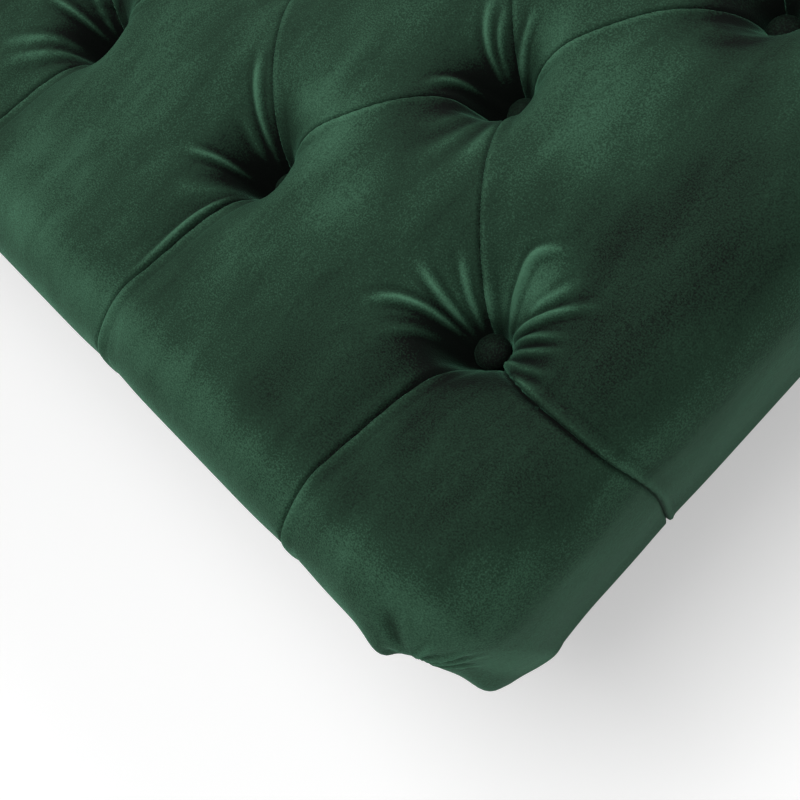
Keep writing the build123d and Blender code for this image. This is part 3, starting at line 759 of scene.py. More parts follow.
# %% Grid lines of the seat
FINE, COARSE = 1.3, 4.4
FINE_TO_U, FINE_FROM_V = 480.0, -60.0
PAST_CREASE, CREASE_STEP = 10.0, 2.5
WALK_STEP, HEM_STEP, CORNER_TURNS = 2.2, 9.0, 56
u_lines = spaced([
    (CORE_X, 0), (FINE_TO_U, FINE), (CREASE_U, COARSE), (CREASE_U + PAST_CREASE, CREASE_STEP)])
v_lines = spaced([(-CORE_Y, 0), (FINE_FROM_V, COARSE), (CORE_Y, FINE)])
walk_lines = spaced([(0.0, 0), (SIDE_WALK - HEM_WIDTH, WALK_STEP), (SIDE_WALK, HEM_STEP)])
turn_lines = np.radians(np.linspace(0.0, 90.0, CORNER_TURNS))
print(len(u_lines), "lines along,", len(v_lines), "across and", len(walk_lines), "down the sides")

# %% [markdown]
# ## The tucked corner
# At the foot corners the spare cloth is folded in. The fold shows as a pocket low on the corner, darkened
# by painted shade, with a few wrinkles running out of it and a fuller pillow below. All of it is placed by an
# angle round the corner and a walk outwards, so that both corners are mirror twins. Dents and the spots of
# painted shade also have a radius and an amount.

# %% Tucked corners
CORNER_DENTS = (
    (15, 92, 15.0, 5.0), (23, 101, 8.0, -6.0), (20, 88, 5.0, -2.5), (34, 128, 20.0, 2.0),
    (44, 162, 26.0, 7.0), (34, 60, 20.0, -3.5))
# Spots of painted shade in the pocket of the fold: angle, walk, radius and amount.
CORNER_PAINTED_SHADE = ((24, 97, 9.0, -0.5), (26, 68, 14.0, -0.2))
CORNER_FOLD = ((28, 80), (26, 70), (24, 60), (20, 48))
FOLD_WIDTH, FOLD_HEIGHT = 5.5, -1.2
CORNER_WIDTH, CORNER_HEIGHT = 2.8, 2.2
CORNER_WRINKLES = (
    ((31, 92), (39, 83), (50, 74)), ((32, 97), (45, 92), (64, 88)), ((33, 102), (46, 101), (66, 102)),
    ((32, 107), (42, 113), (58, 120)))


def corner_place(degrees, walk, side):
    """A flat place in a foot corner's fan: an angle from the side towards the foot, and a walk outwards."""
    turn = np.radians(degrees)
    return CORE_X - walk * np.sin(turn), side * (CORE_Y + walk * np.cos(turn))


for side in (-1, 1):
    for degrees, walk, radius, amount in CORNER_DENTS:
        seat_relief.dent(corner_place(degrees, walk, side), radius, amount)
    for degrees, walk, radius, tone in CORNER_PAINTED_SHADE:
        seat_relief.stroke(corner_place(degrees, walk, side), radius, tone)
    seat_relief.ridge([corner_place(*stop, side) for stop in CORNER_FOLD], FOLD_WIDTH, FOLD_HEIGHT)
    for stops in CORNER_WRINKLES:
        seat_relief.ridge([corner_place(*stop, side) for stop in stops], CORNER_WIDTH, CORNER_HEIGHT)
print(len(seat_relief.dents), "dents, with those of the corners")

# %% [markdown]
# ## Blocks, crown and painted sheen on the edges
# The flat cloth is cut into six blocks: the middle, three sides and two corner fans. Neighbours share their
# border places, so they merge into one skin. The crown falls a little towards the edges and dives into the
# crease in front of the back. Where the cloth turns over an edge it is painted paler, as a painted sheen.

# %% Form of the seat
EDGE_FALL, FOOT_FALL, FOOT_SWELL, SWELL_START = 4.0, 3.5, 3.0, 30.0
# Painted sheen on the roll over the sides and over the foot.
SIDE_PAINTED_SHEEN, FOOT_PAINTED_SHEEN = 0.42, 0.3


def seat_blocks():
    """Flat places of the seat's cloth: the middle, three sides and two corner fans."""
    blocks = [np.meshgrid(u_lines, v_lines, indexing="ij")]
    for side in (-1, 1):
        u, t = np.meshgrid(u_lines, walk_lines, indexing="ij")
        blocks.append((u, side * (CORE_Y + t)))
        angle, t = np.meshgrid(turn_lines, walk_lines, indexing="ij")
        blocks.append((CORE_X - t * np.sin(angle), side * (CORE_Y + t * np.cos(angle))))
    t, v = np.meshgrid(walk_lines, v_lines, indexing="ij")
    blocks.append((CORE_X - t, v))
    return blocks


def crown_fall(u, v):
    """How far the slab's top falls towards its edges, and dives into the crease in front of the back."""
    inside = np.minimum(u, HALF_WIDTH - np.abs(v))
    edge = EDGE_FALL * (1.0 - smooth(inside, 60.0, 190.0)) * smooth(inside, 0.0, 80.0)
    swell = (CORE_X - u - FLAT - ROLL_LENGTH + SWELL_START) / (SIDE_LENGTH + SWELL_START)
    edge = edge - FOOT_SWELL * np.sin(np.pi * np.clip(swell, 0.0, 1.0)) ** 2
    foot = FOOT_FALL * smooth(-u, 10.0, 110.0) * (1.0 - smooth(np.abs(v), CORE_Y - 30.0, CORE_Y + 40.0))
    on_side = smooth(np.abs(v), HALF_WIDTH - 60.0, HALF_WIDTH + 20.0)
    tuck = REAR_DROP * (1.0 - on_side) * pillow_fall(CREASE_U - u, 0.0, 42.0)
    return edge + foot + tuck


def painted_edge_sheen(u, v):
    """Painted sheen: paler where the cloth turns over the edge."""
    side, foot = np.abs(v) - CORE_Y, CORE_X - u
    side_sheen = SIDE_PAINTED_SHEEN * smooth(side, 12.0, 42.0) * (1.0 - smooth(side, 70.0, 110.0))
    foot_sheen = FOOT_PAINTED_SHEEN * smooth(foot, 46.0, 76.0) * (1.0 - smooth(foot, 110.0, 150.0))
    return np.maximum(side_sheen, foot_sheen)


print(len(seat_blocks()), "blocks of flat cloth")

# %% [markdown]
# ## The seat's cover
# On the real seat this is one piece of velvet over foam and padding, fixed under the frame. It is the skin
# of the whole slab, so it takes the place of the CAD cover, foam and edge padding.

# %% Seat cover
def build_seat():
    """The seat's skin, from its blocks of flat cloth."""
    points, faces, pile_and_painted_light, on_line, first = [], [], [], [], 0
    for u, v in seat_blocks():
        rows, columns = u.shape
        u, v = u.ravel(), v.ravel()
        spacing = np.where((u < FINE_TO_U) & (v > FINE_FROM_V), FINE, COARSE)
        u, v, on = snap_to_pleats(seat_relief, u, v, spacing)
        on_line.append(on)
        height, shift_u, shift_v, tone_and_painted_light = cloth_height(seat_relief, u, v)
        points.append(bend_over_slab(u, v, height - crown_fall(u, v), shift_u, shift_v))
        faces.append(grid_faces(rows, columns, first))
        pile_and_painted_light.append(np.clip(tone_and_painted_light + painted_edge_sheen(u, v), -1.0, 1.0))
        first += rows * columns
    faces = split_on_lines(np.concatenate(faces), np.concatenate(on_line))
    return mesh_object("seat_velvet", np.concatenate(points), faces, 0.01, np.concatenate(pile_and_painted_light))


seat = build_seat()
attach(seat, "root")
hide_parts("seat_cover", "seat_foam", "left_edge_padding", "right_edge_padding", "foot_edge_padding")
print(f"{seat.name}: {len(seat.data.vertices)} vertices")

# %% [markdown]
# ## The back
# The back's cloth climbs the leaning face, rolls over the top and ends behind, where the outer back begins.
# It is tufted like the seat, so it is made by the same relief: buttons, diagonal pleats, and pleats that
# run on over the roll or out to the side seams.

# %% Tufts of the back
ROLL_FROM = np.pi - LEAN
ROLL_TURN = ROLL_FROM + np.arccos((OUTER_BACK_X - 4.0 - ROLL_X) / ROLL_R)
BACK_LENGTH = FACE_RISE + ROLL_R * ROLL_TURN
BACK_REACHES = (56, 76)
SEAM_FADE, FACE_FADE, ROLL_FADE = 0.7, 0.8, 0.3
for place in back_buttons:
    back_relief.dip(place, TUFT_FLOOR, TUFT_REACH, rng.uniform(*BACK_REACHES), rng.uniform(-np.pi, np.pi))
    scatter_ridges(back_relief, place)
add_pleats(back_relief, back_buttons)
TOP_ROW = back_buttons[:, 0].max()
for s, w in back_buttons:
    if abs(w) == 2 * ROW:
        side = np.sign(w)
        points = [(s, w), (s + 2, w + side * 50), (s, side * (FACING_INNER + 20))]
        back_relief.crease(points, side, True, SEAM_FADE)
    if s == FIRST_ON_BACK:
        back_relief.crease([(s, w), (s - 50, w + 1), (-70.0, w)], 1, True, FACE_FADE)
    if s == TOP_ROW:
        points = [(s, w), (s + 60, w + 2), (s + 200, w - 1), (BACK_LENGTH - 30, w)]
        back_relief.crease(points, 1, True, ROLL_FADE)
print(len(back_relief.dips), "tufts and", len(back_relief.creases), "pleats on the back")

# %% [markdown]
# ## Form of the back
# The slab of the back is simpler than the seat: a leaning plane and one arc. Between the pleats the stuffing
# swells, in diamonds on the face and in channels over the roll. At the side seams the cloth is pulled down
# a few millimetres, as a sewn edge is.

# %% Back cover
def bend_over_back(s, w, height, shift_s, shift_w):
    """The flat cloth at s up the face and w across, pushed by its height, on the back and its roll."""
    s = s + shift_s
    angle = ROLL_FROM - np.maximum(s - FACE_RISE, 0.0) / ROLL_R
    on_face = np.minimum(s - FACE_RISE, 0.0)
    x = ROLL_X + (ROLL_R + height) * np.cos(angle) + on_face * np.sin(LEAN)
    z = ROLL_Z + (ROLL_R + height) * np.sin(angle) + on_face * np.cos(LEAN)
    return np.stack([x, w + shift_w, z], -1)


BACK_FINE, BACK_COARSE = 2.4, 4.0
BELOW_CREASE, ON_ROLL = 84.0, 100.0
SEAM_DROP, SEAM_BAND, SEAM_STEP = 4.0, 24.0, 1.6
DIAMOND_SWELL, CHANNEL_SWELL = 7.0, 3.5
s_lines = spaced([(-BELOW_CREASE, 0), (FACE_RISE + ON_ROLL, BACK_FINE), (BACK_LENGTH, BACK_COARSE)])
w_lines = spaced([
    (-FACING_INNER, 0), (-FACING_INNER + SEAM_BAND, SEAM_STEP), (FACING_INNER - SEAM_BAND, BACK_FINE),
    (FACING_INNER, SEAM_STEP)])


def back_swell(s, w):
    """How far the stuffing swells between the pleats: in the diamonds, and in the channels over the roll."""
    a, b = (s - FIRST_ON_BACK) / PITCH, w / (2 * ROW)
    diamond = np.abs(np.sin(np.pi * (a + b)) * np.sin(np.pi * (a - b))) ** 0.6
    field = smooth(s, 40.0, 110.0) * (1.0 - smooth(s, TOP_ROW - 16.0, TOP_ROW + 40.0))
    field = field * (1.0 - smooth(np.abs(w), 2 * ROW - 10.0, 2 * ROW + 40.0))
    channel = np.abs(np.sin(np.pi * b)) ** 0.7 * smooth(s, TOP_ROW + 10.0, TOP_ROW + 90.0)
    return DIAMOND_SWELL * diamond * field + CHANNEL_SWELL * channel


def build_back():
    """The back's skin, from one grid of flat cloth."""
    s, w = np.meshgrid(s_lines, w_lines, indexing="ij")
    rows, columns = s.shape
    s, w, on_line = snap_to_pleats(back_relief, s.ravel(), w.ravel(), np.full(s.size, BACK_FINE))
    w = np.clip(w, -FACING_INNER, FACING_INNER)
    height, shift_s, shift_w, tone_and_painted_light = cloth_height(back_relief, s, w)
    seam = SEAM_DROP * pillow_fall(FACING_INNER - np.abs(w), 0.0, 22.0)
    keep = smooth(FACING_INNER - np.abs(w), 0.0, 8.0)
    height = (height + back_swell(s, w)) * (0.1 + 0.9 * keep) - seam
    points = bend_over_back(s, w, height, shift_s, shift_w * keep)
    faces = split_on_lines(grid_faces(rows, columns, 0, True), on_line)
    return mesh_object("back_velvet", points, faces, 0.0, tone_and_painted_light)


back = build_back()
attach(back, "root")
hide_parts("back_cover", "back_foam", "roll_padding")
print(f"{back.name}: {len(back.data.vertices)} vertices")

# %% [markdown]
# ## Side facings
# A padded panel covers each side of the back. Its outline is that of the back: lean, roll, upright rear.
# It could be a filled curve, but a fill has no vertices inside to swell. So the panel is a grid of lines
# that join the front outline to the rear one, and it swells a little inside its seam.

# %% Facings
OUTLINE_POINTS, OUTLINE_END = 150, np.radians(50.0)
PANEL_COLUMNS, PANEL_SHOULDER, PANEL_SWELL = 60, 14.0, 3.0
PINCH_DEPTH, PINCH_PLACE, PINCH_WIDTH = 1.2, 9.0, 2.0
WAVE_HEIGHT, WAVE_UP, WAVE_ALONG = 0.8, 31.0, 57.0


def back_outline(count):
    """Front and rear halves of the seam's outline, from the hem up to the far side of the roll."""
    end = OUTLINE_END
    radius = ROLL_R - SEAM_DROP + 0.5
    low = (ROLL_Z + radius * np.sin(ROLL_FROM) - HEM_Z) / np.cos(LEAN)
    share = np.linspace(0.0, 1.0, count)
    front_length = low + radius * (ROLL_FROM - end)
    walk = share * front_length - low
    angle = ROLL_FROM - np.maximum(walk, 0.0) / radius
    front = np.stack([
        ROLL_X + radius * np.cos(angle) + np.minimum(walk, 0.0) * np.sin(LEAN),
        ROLL_Z + radius * np.sin(angle) + np.minimum(walk, 0.0) * np.cos(LEAN)], -1)
    start = -np.arccos((OUTER_BACK_X - 2.0 - ROLL_X) / radius)
    rise = ROLL_Z + radius * np.sin(start) - HEM_Z
    walk = share * (rise + radius * (end - start)) - rise
    angle = start + np.maximum(walk, 0.0) / radius
    rear = np.stack([
        ROLL_X + radius * np.cos(angle), ROLL_Z + radius * np.sin(angle) + np.minimum(walk, 0.0)], -1)
    return front, rear


def build_facing(name, side):
    """A padded panel between the two halves of the outline."""
    front, rear = back_outline(OUTLINE_POINTS)
    across = 0.5 - 0.5 * np.cos(np.linspace(0.0, np.pi, PANEL_COLUMNS))
    grid = front[:, None, :] + (rear - front)[:, None, :] * across[None, :, None]
    flat = grid.reshape(-1, 2)
    outline = np.vstack([front, rear[::-1], front[:1]])
    apart = np.r_[True, np.hypot(*np.diff(outline, axis=0).T) > 1e-6]
    offset, _, _ = nearest_on_line(outline[apart], flat[:, 0], flat[:, 1])
    depth = np.abs(offset)
    swell = FACING_DEPTH * (1.0 - pillow_fall(depth, 0.0, PANEL_SHOULDER))
    swell = swell + PANEL_SWELL * smooth(depth, 10.0, 90.0)
    pinch = PINCH_DEPTH * np.exp(-((depth - PINCH_PLACE) / PINCH_WIDTH) ** 2)
    wave = WAVE_HEIGHT * np.sin(flat[:, 1] / WAVE_UP + flat[:, 0] / WAVE_ALONG) * smooth(depth, 8.0, 30.0)
    points = np.stack([flat[:, 0], side * (FACING_INNER + swell - pinch + wave), flat[:, 1]], -1)
    return mesh_object(name, points, grid_faces(OUTLINE_POINTS, len(across), 0, side > 0), 0.02)


facings = []
for name, side in (("left", 1), ("right", -1)):
    facing = build_facing(name + "_facing_velvet", side)
    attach(facing, "root")
    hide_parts(name + "_back_facing")
    facings.append(facing)
    print(f"{facing.name}: {len(facing.data.vertices)} vertices")

# %% [markdown]
# ## Outer back
# One plain panel closes the back from behind. It is a single cloth with air behind it. It is stretched
# between the roll and the hem, so a grid with long soft pulls is enough, and it turns in under the frame.

# %% Outer back cover
OUTER_TOP = ROLL_Z - np.sqrt(ROLL_R**2 - (OUTER_BACK_X - ROLL_X) ** 2)
OUTER_TURN = 20.0
OUTER_BEND_R = 8.0
OUTER_STEP, OUTER_BEND_STEP, OUTER_COLUMNS = 7.0, 2.0, 130
LONG_PULL, SHORT_PULL, OUTER_SWELL, OUTER_SEAM = 0.9, 0.6, 2.0, 3.0


def build_outer_back():
    """The outer back's panel, with its hem bent in under the frame."""
    height = OUTER_TOP - HEM_Z
    straight = height - OUTER_BEND_R
    walk = spaced([(0.0, 0), (straight, OUTER_STEP), (height + OUTER_TURN, OUTER_BEND_STEP)])
    w = np.linspace(-FACING_INNER, FACING_INNER, OUTER_COLUMNS)
    walk, w = np.meshgrid(walk, w, indexing="ij")
    rows, columns = walk.shape
    walk, w = walk.ravel(), w.ravel()
    quarter = OUTER_BEND_R * np.pi / 2
    turn = np.clip(walk - straight, 0.0, quarter) / OUTER_BEND_R
    under = np.maximum(walk - straight - quarter, 0.0)
    x = OUTER_BACK_X - OUTER_BEND_R * (1 - np.cos(turn)) - under
    z = OUTER_TOP - np.minimum(walk, straight) - OUTER_BEND_R * np.sin(turn)
    inside = smooth(walk, 0.0, 50.0) * (1.0 - smooth(walk, height - 60.0, straight))
    inside = inside * smooth(FACING_INNER - np.abs(w), 0.0, 40.0)
    pulls = LONG_PULL * np.sin(w / 41.0 + 0.8 * np.sin(walk / 90.0))
    pulls = pulls + SHORT_PULL * np.sin(w / 17.0 + walk / 160.0)
    edge = OUTER_SEAM * pillow_fall(FACING_INNER - np.abs(w), 0.0, 9.0)
    x = x + inside * (pulls + OUTER_SWELL) - edge
    return mesh_object("outer_back_velvet", np.stack([x, w, z], -1), grid_faces(rows, columns, 0))


outer_back = build_outer_back()
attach(outer_back, "root")
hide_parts("outer_back_cover")
print(f"{outer_back.name}: {2 * FACING_INNER:.0f} x {OUTER_TOP - HEM_Z + OUTER_TURN:.0f} mm of flat cloth")

# %% [markdown]
# ## Buttons
# Each button is a domed disc covered in the same velvet, gathered behind it. A scaled sphere would look like
# a bead, so a button profile is turned round its axis instead, with faint lobes at the rim where the cloth
# is gathered. Each one is tilted by a few degrees at most, as twine never pulls quite straight.

# %% Buttons
# The buttons sit deep in the tufts, so their tone is painted darker: painted shade.
BUTTON_PAINTED_SHADE = -0.6
BUTTON_PROFILE = np.array([
    (0.0, 9.0), (2.0, 8.86), (4.0, 8.42), (6.0, 7.6), (7.8, 6.5), (9.2, 5.0), (10.0, 3.4),
    (10.25, 2.0), (9.9, 0.8), (8.8, 0.0), (6.0, 0.0)])
BUTTON_TURN_STEP, BUTTON_TILT = 10, 3
LOBES, LOBE_SIZE = 9, 0.012


def button_points(phase):
    """One button in its own frame: z is out of the cloth."""
    turn = np.radians(np.arange(0, 360, BUTTON_TURN_STEP))
    r, a = np.meshgrid(BUTTON_PROFILE[:, 0], turn, indexing="ij")
    z = np.repeat(BUTTON_PROFILE[:, 1][:, None], len(turn), 1)
    lobes = 1.0 + LOBE_SIZE * np.sin(LOBES * a + phase) * smooth(r, 5.0, 10.0)
    points = np.stack([r * lobes * np.cos(a), r * lobes * np.sin(a), z], -1).reshape(-1, 3)
    index = np.arange(r.size).reshape(r.shape)
    ring = np.roll(index, -1, axis=1)
    quads = np.stack([index[:-1], index[1:], ring[1:], ring[:-1]], -1).reshape(-1, 4)
    return points, quads


def build_buttons(name, places, axes):
    """All buttons of one face. axes gives that face's along, across and outward directions."""
    points, faces = [], []
    for place in places:
        own, quads = button_points(rng.uniform(0, 6))
        tilt = np.radians(rng.uniform(-BUTTON_TILT, BUTTON_TILT, 2))
        own[:, 2] += own[:, 0] * tilt[0] + own[:, 1] * tilt[1]
        faces.append(quads + sum(len(p) for p in points))
        points.append(place + own @ np.array(axes))
    points = np.vstack(points)
    return mesh_object(name, points, np.vstack(faces), 0.01, np.full(len(points), BUTTON_PAINTED_SHADE))


seat_places = [(FOOT_X + u, v, CROWN_Z - TUFT_FLOOR) for u, v in seat_buttons]
slope = np.array([np.sin(LEAN), 0.0, np.cos(LEAN)])
outward = np.array([-np.cos(LEAN), 0.0, np.sin(LEAN)])
foot_of_back = np.array([CREASE_X, 0.0, CROWN_Z])
back_places = [
    foot_of_back + slope * s + np.array([0.0, w, 0.0]) - outward * TUFT_FLOOR for s, w in back_buttons]
button_sets = []
for name, places, axes in (
    ("seat", seat_places, ((1, 0, 0), (0, 1, 0), (0, 0, 1))),
    ("back", back_places, (slope, (0, -1, 0), outward)),
):
    piece = build_buttons(name + "_button_covers", np.array(places), axes)
    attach(piece, "root")
    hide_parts(name + "_buttons")
    button_sets.append(piece)
    print(f"{piece.name}: {len(places)} buttons")

# %% [markdown]
# ## Dust cover
# A thin black cloth closes the frame from below. It is stapled to the rails, so it hangs through by only a
# few millimetres, and it is cut out round each leg. A Boolean could cut the holes, but moving the nearest
# vertices onto a circle keeps the grid clean.

# %% Dust cover
dust_low, dust_high = in_mm(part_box("dust_cover"))
leg_axes = []
for name in ("foot_left_leg", "foot_right_leg", "head_left_leg", "head_right_leg"):
    low, high = in_mm(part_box(name))
    leg_axes.append((low + high)[:2] / 2)
LEG_CUT = 24.5
DUST_STEPS = (210, 96)
DUST_SAG, DUST_RIPPLE, DUST_BELOW_TOP, DUST_RIM = 2.2, 0.4, 0.8, 6.0


def build_dust_cover():
    """A grid with a hole for each leg."""
    x, y = (np.linspace(dust_low[i], dust_high[i], DUST_STEPS[i] + 1) for i in (0, 1))
    x, y = np.meshgrid(x, y, indexing="ij")
    rows, columns = x.shape
    x, y = x.ravel(), y.ravel()
    gone = np.zeros(len(x), bool)
    for axis in leg_axes:
        r = np.hypot(x - axis[0], y - axis[1])
        rim = (r > LEG_CUT - DUST_RIM) & (r < LEG_CUT + 0.4 * DUST_RIM)
        x[rim] = axis[0] + (x[rim] - axis[0]) * LEG_CUT / r[rim]
        y[rim] = axis[1] + (y[rim] - axis[1]) * LEG_CUT / r[rim]
        gone |= r <= LEG_CUT - DUST_RIM
    from_ends = np.minimum(x - dust_low[0], dust_high[0] - x)
    edge = np.minimum(from_ends, np.minimum(y - dust_low[1], dust_high[1] - y))
    ripple = DUST_RIPPLE * np.sin(x / 37.0 + np.sin(y / 60.0)) * smooth(edge, 10.0, 60.0)
    z = dust_high[2] - DUST_BELOW_TOP - DUST_SAG * smooth(edge, 0.0, 120.0) - ripple
    quads = grid_faces(rows, columns, 0, True)
    faces = quads[~gone[quads].any(1)]
    return mesh_object("dust_cloth", np.stack([x, y, z], -1), faces)


dust = build_dust_cover()
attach(dust, "root")
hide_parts("dust_cover")
print(f"{dust.name}: {dust_high[0] - dust_low[0]:.0f} x {dust_high[1] - dust_low[1]:.0f} mm of flat cloth")

# %% [markdown]
# ## Helpers for finishes
# Every finish mixes a few textures. A node group with named sockets can be built once and placed in many
# materials, so the patterns below are groups. These helpers add a node or two and join them up, which keeps
# the recipes short.

# %% Node helpers
def new_material(name):
    """A new material, its nodes and its links."""
    material = bpy.data.materials.new(name)
    material.use_nodes = True
    return material, material.node_tree.nodes, material.node_tree.links


def new_group(name, *outputs):
    """A node group that takes a place and puts out plain values, and its input and output nodes."""
    group = bpy.data.node_groups.new(name, "ShaderNodeTree")
    group.interface.new_socket("Vector", in_out="INPUT", socket_type="NodeSocketVector")
    for socket in outputs:
        group.interface.new_socket(socket, in_out="OUTPUT", socket_type="NodeSocketFloat")
    return group, group.nodes.new("NodeGroupInput"), group.nodes.new("NodeGroupOutput")


def set_inputs(node, values):
    """Sets inputs of a node by their names."""
    for socket, value in values.items():
        node.inputs[socket].default_value = value


def noise(nodes, links, vector, scale, detail, distortion=0.0):
    """Noise at a scale, with some detail."""
    node = nodes.new("ShaderNodeTexNoise")
    set_inputs(node, {"Scale": scale, "Detail": detail, "Distortion": distortion})
    links.new(vector, node.inputs["Vector"])
    return node.outputs["Fac"]


def spread(nodes, links, value, low, high, to_low=0.0, to_high=1.0):
    """Stretches a value from one range to another."""
    node = nodes.new("ShaderNodeMapRange")
    set_inputs(node, {"From Min": low, "From Max": high, "To Min": to_low, "To Max": to_high})
    links.new(value, node.inputs["Value"])
    return node.outputs["Result"]


def math(nodes, links, operation, *values):
    """A sum or product of values. Each may be a socket or a number."""
    node = nodes.new("ShaderNodeMath")
    node.operation = operation
    for socket, value in zip(node.inputs, values):
        if isinstance(value, (int, float)):
            socket.default_value = value
        else:
            links.new(value, socket)
    return node.outputs["Value"]


def bump(nodes, links, height, strength, distance):
    """A normal that is bumped by a height."""
    node = nodes.new("ShaderNodeBump")
    set_inputs(node, {"Strength": strength, "Distance": distance})
    links.new(height, node.inputs["Height"])
    return node.outputs["Normal"]


def seen_directly(nodes, links):
    """1 for what the camera sees, also in a gloss or through glass, and 0 for what only lights."""
    path = nodes.new("ShaderNodeLightPath")
    seen = math(nodes, links, "ADD", path.outputs["Is Camera Ray"], path.outputs["Is Glossy Ray"])
    return math(nodes, links, "ADD", seen, path.outputs["Is Transmission Ray"])


helpers = (new_material, new_group, set_inputs, noise, spread, math, bump, seen_directly)
print("helpers:", ", ".join(helper.__name__ for helper in helpers))

# %% [markdown]
# ## Pile
# Velvet is a forest of short threads. Brushed one way it is paler, the other way darker, in long swept
# patches, and close up it has a fine grain. Noise at three scales gives that: patches, strokes and grain.
# The first two are stretched, because a hand brushes in one direction.

# %% Pile
def pile_group():
    """Tone of the brushed pile, and its fine grain."""
    group, ins, outs = new_group("Pile", "Tone", "Grain")
    nodes, links = group.nodes, group.links
    vector = ins.outputs["Vector"]
    swept = nodes.new("ShaderNodeMapping")
    set_inputs(swept, {"Rotation": (0.3, 0.2, 0.9), "Scale": (1.0, 0.35, 0.6)})
    links.new(vector, swept.inputs["Vector"])
    patches = spread(nodes, links, noise(nodes, links, swept.outputs["Vector"], 9.0, 3.0, 0.5), 0.25, 0.75)
    strokes = spread(nodes, links, noise(nodes, links, swept.outputs["Vector"], 55.0, 5.0, 0.3), 0.28, 0.72)
    grain = spread(nodes, links, noise(nodes, links, vector, 1100.0, 2.0), 0.3, 0.7)
    tone = math(nodes, links, "MULTIPLY_ADD", patches, 0.2, 0.08)
    tone = math(nodes, links, "ADD", tone, math(nodes, links, "MULTIPLY", strokes, 0.18))
    tone = math(nodes, links, "ADD", tone, math(nodes, links, "MULTIPLY", grain, 0.3))
    links.new(tone, outs.inputs["Tone"])
    links.new(grain, outs.inputs["Grain"])
    return group


pile = pile_group()
put_out = [socket.name for socket in pile.interface.items_tree if socket.in_out == "OUTPUT"]
print("group", pile.name, "puts out", put_out)

# %% [markdown]
# ## Velvet
# Velvet is dark where the pile faces you and pale where you look across it. A plain rough cloth can't do
# that, but the Sheen of the Principled shader can. The pile's tone and the mesh's value of brushed pile with
# painted light and shade pick the colour from a ramp of dark, middle and pale green; the darkest green,
# nearly black, is reached in the painted shadow of the pits. Tight cloth on a button shows hardly any sheen.

# %% Velvet
DARK_GREEN, MIDDLE_GREEN, PALE_GREEN = (0.0006, 0.0016, 0.001), (0.0125, 0.036, 0.0205), (0.056, 0.148, 0.09)
SHEEN_GREEN = (0.22, 0.67, 0.41)
MIDDLE_TONE = 0.45
PILE_AND_PAINTED_LIGHT_SHARE = 0.55


def velvet_material(name, pile, sheen):
    """Green velvet with the pile's tone, the mesh's value of brushed pile and painted light, and some sheen.
    """
    material, nodes, links = new_material(name)
    shader = nodes["Principled BSDF"]
    set_inputs(shader, {
        "Roughness": 0.85, "Specular IOR Level": 0.1, "Sheen Weight": sheen, "Sheen Roughness": 0.3,
        "Sheen Tint": (*SHEEN_GREEN, 1.0)})
    place = nodes.new("ShaderNodeTexCoord")
    layer = nodes.new("ShaderNodeAttribute")
    layer.attribute_name = "pile_and_painted_light"
    nap = nodes.new("ShaderNodeGroup")
    nap.node_tree = pile
    links.new(place.outputs["Object"], nap.inputs["Vector"])
    # The mesh's value brings painted highlights and painted shade into the colour.
    pile_and_painted_light = math(nodes, links, "MULTIPLY", layer.outputs["Fac"], PILE_AND_PAINTED_LIGHT_SHARE)
    tone = math(nodes, links, "ADD", nap.outputs["Tone"], pile_and_painted_light)
    ramp = nodes.new("ShaderNodeValToRGB")
    ramp.color_ramp.elements[0].color = (*DARK_GREEN, 1.0)
    ramp.color_ramp.elements[1].color = (*PALE_GREEN, 1.0)
    ramp.color_ramp.elements.new(MIDDLE_TONE).color = (*MIDDLE_GREEN, 1.0)
    links.new(tone, ramp.inputs["Fac"])
    links.new(ramp.outputs["Color"], shader.inputs["Base Color"])
    links.new(bump(nodes, links, nap.outputs["Grain"], 0.25, 0.0008), shader.inputs["Normal"])
    return material


velvet = velvet_material("green_velvet", pile, 0.28)
tight_velvet = velvet_material("tight_button_velvet", pile, 0.05)
for piece in [seat, back, outer_back, *facings]:
    piece.data.materials.append(velvet)
for piece in button_sets:
    piece.data.materials.append(tight_velvet)
print(velvet.name, "on", 3 + len(facings), "pieces,", tight_velvet.name, "on", len(button_sets))

# %% [markdown]
# ## Streaks and weave
# Wood has long streaks and pores, drawn steel has the same but finer, and cloth has crossed threads. Image
# textures would need files and unwrapping. Squeezed noise and two crossed waves do it from the place in
# space alone.

# %% Pattern groups
def streak_group():
    """Long streaks along z, with pores: for wood and for drawn metal."""
    group, ins, outs = new_group("Streaks", "Streak", "Pores")
    nodes, links = group.nodes, group.links
    squeeze = nodes.new("ShaderNodeMapping")
    set_inputs(squeeze, {"Scale": (1.0, 1.0, 0.09)})
    links.new(ins.outputs["Vector"], squeeze.inputs["Vector"])
    wide = spread(nodes, links, noise(nodes, links, squeeze.outputs["Vector"], 70.0, 5.0, 1.2), 0.3, 0.7)
    fine = spread(nodes, links, noise(nodes, links, squeeze.outputs["Vector"], 420.0, 3.0), 0.35, 0.65)
    most = math(nodes, links, "MULTIPLY", wide, 0.7)
    links.new(math(nodes, links, "MULTIPLY_ADD", fine, 0.3, most), outs.inputs["Streak"])
    links.new(fine, outs.inputs["Pores"])
    return group


def weave_group():
    """A crossed pattern of threads."""
    group, ins, outs = new_group("Weave", "Thread")
    nodes, links = group.nodes, group.links
    threads = []
    for direction in ("X", "Y"):
        wave = nodes.new("ShaderNodeTexWave")
        wave.bands_direction = direction
        set_inputs(wave, {"Scale": 320.0, "Distortion": 1.5})
        links.new(ins.outputs["Vector"], wave.inputs["Vector"])
        threads.append(wave.outputs["Fac"])
    links.new(math(nodes, links, "MULTIPLY", *threads), outs.inputs["Thread"])
    return group


streaks, weave = streak_group(), weave_group()
print("groups", streaks.name, "and", weave.name)

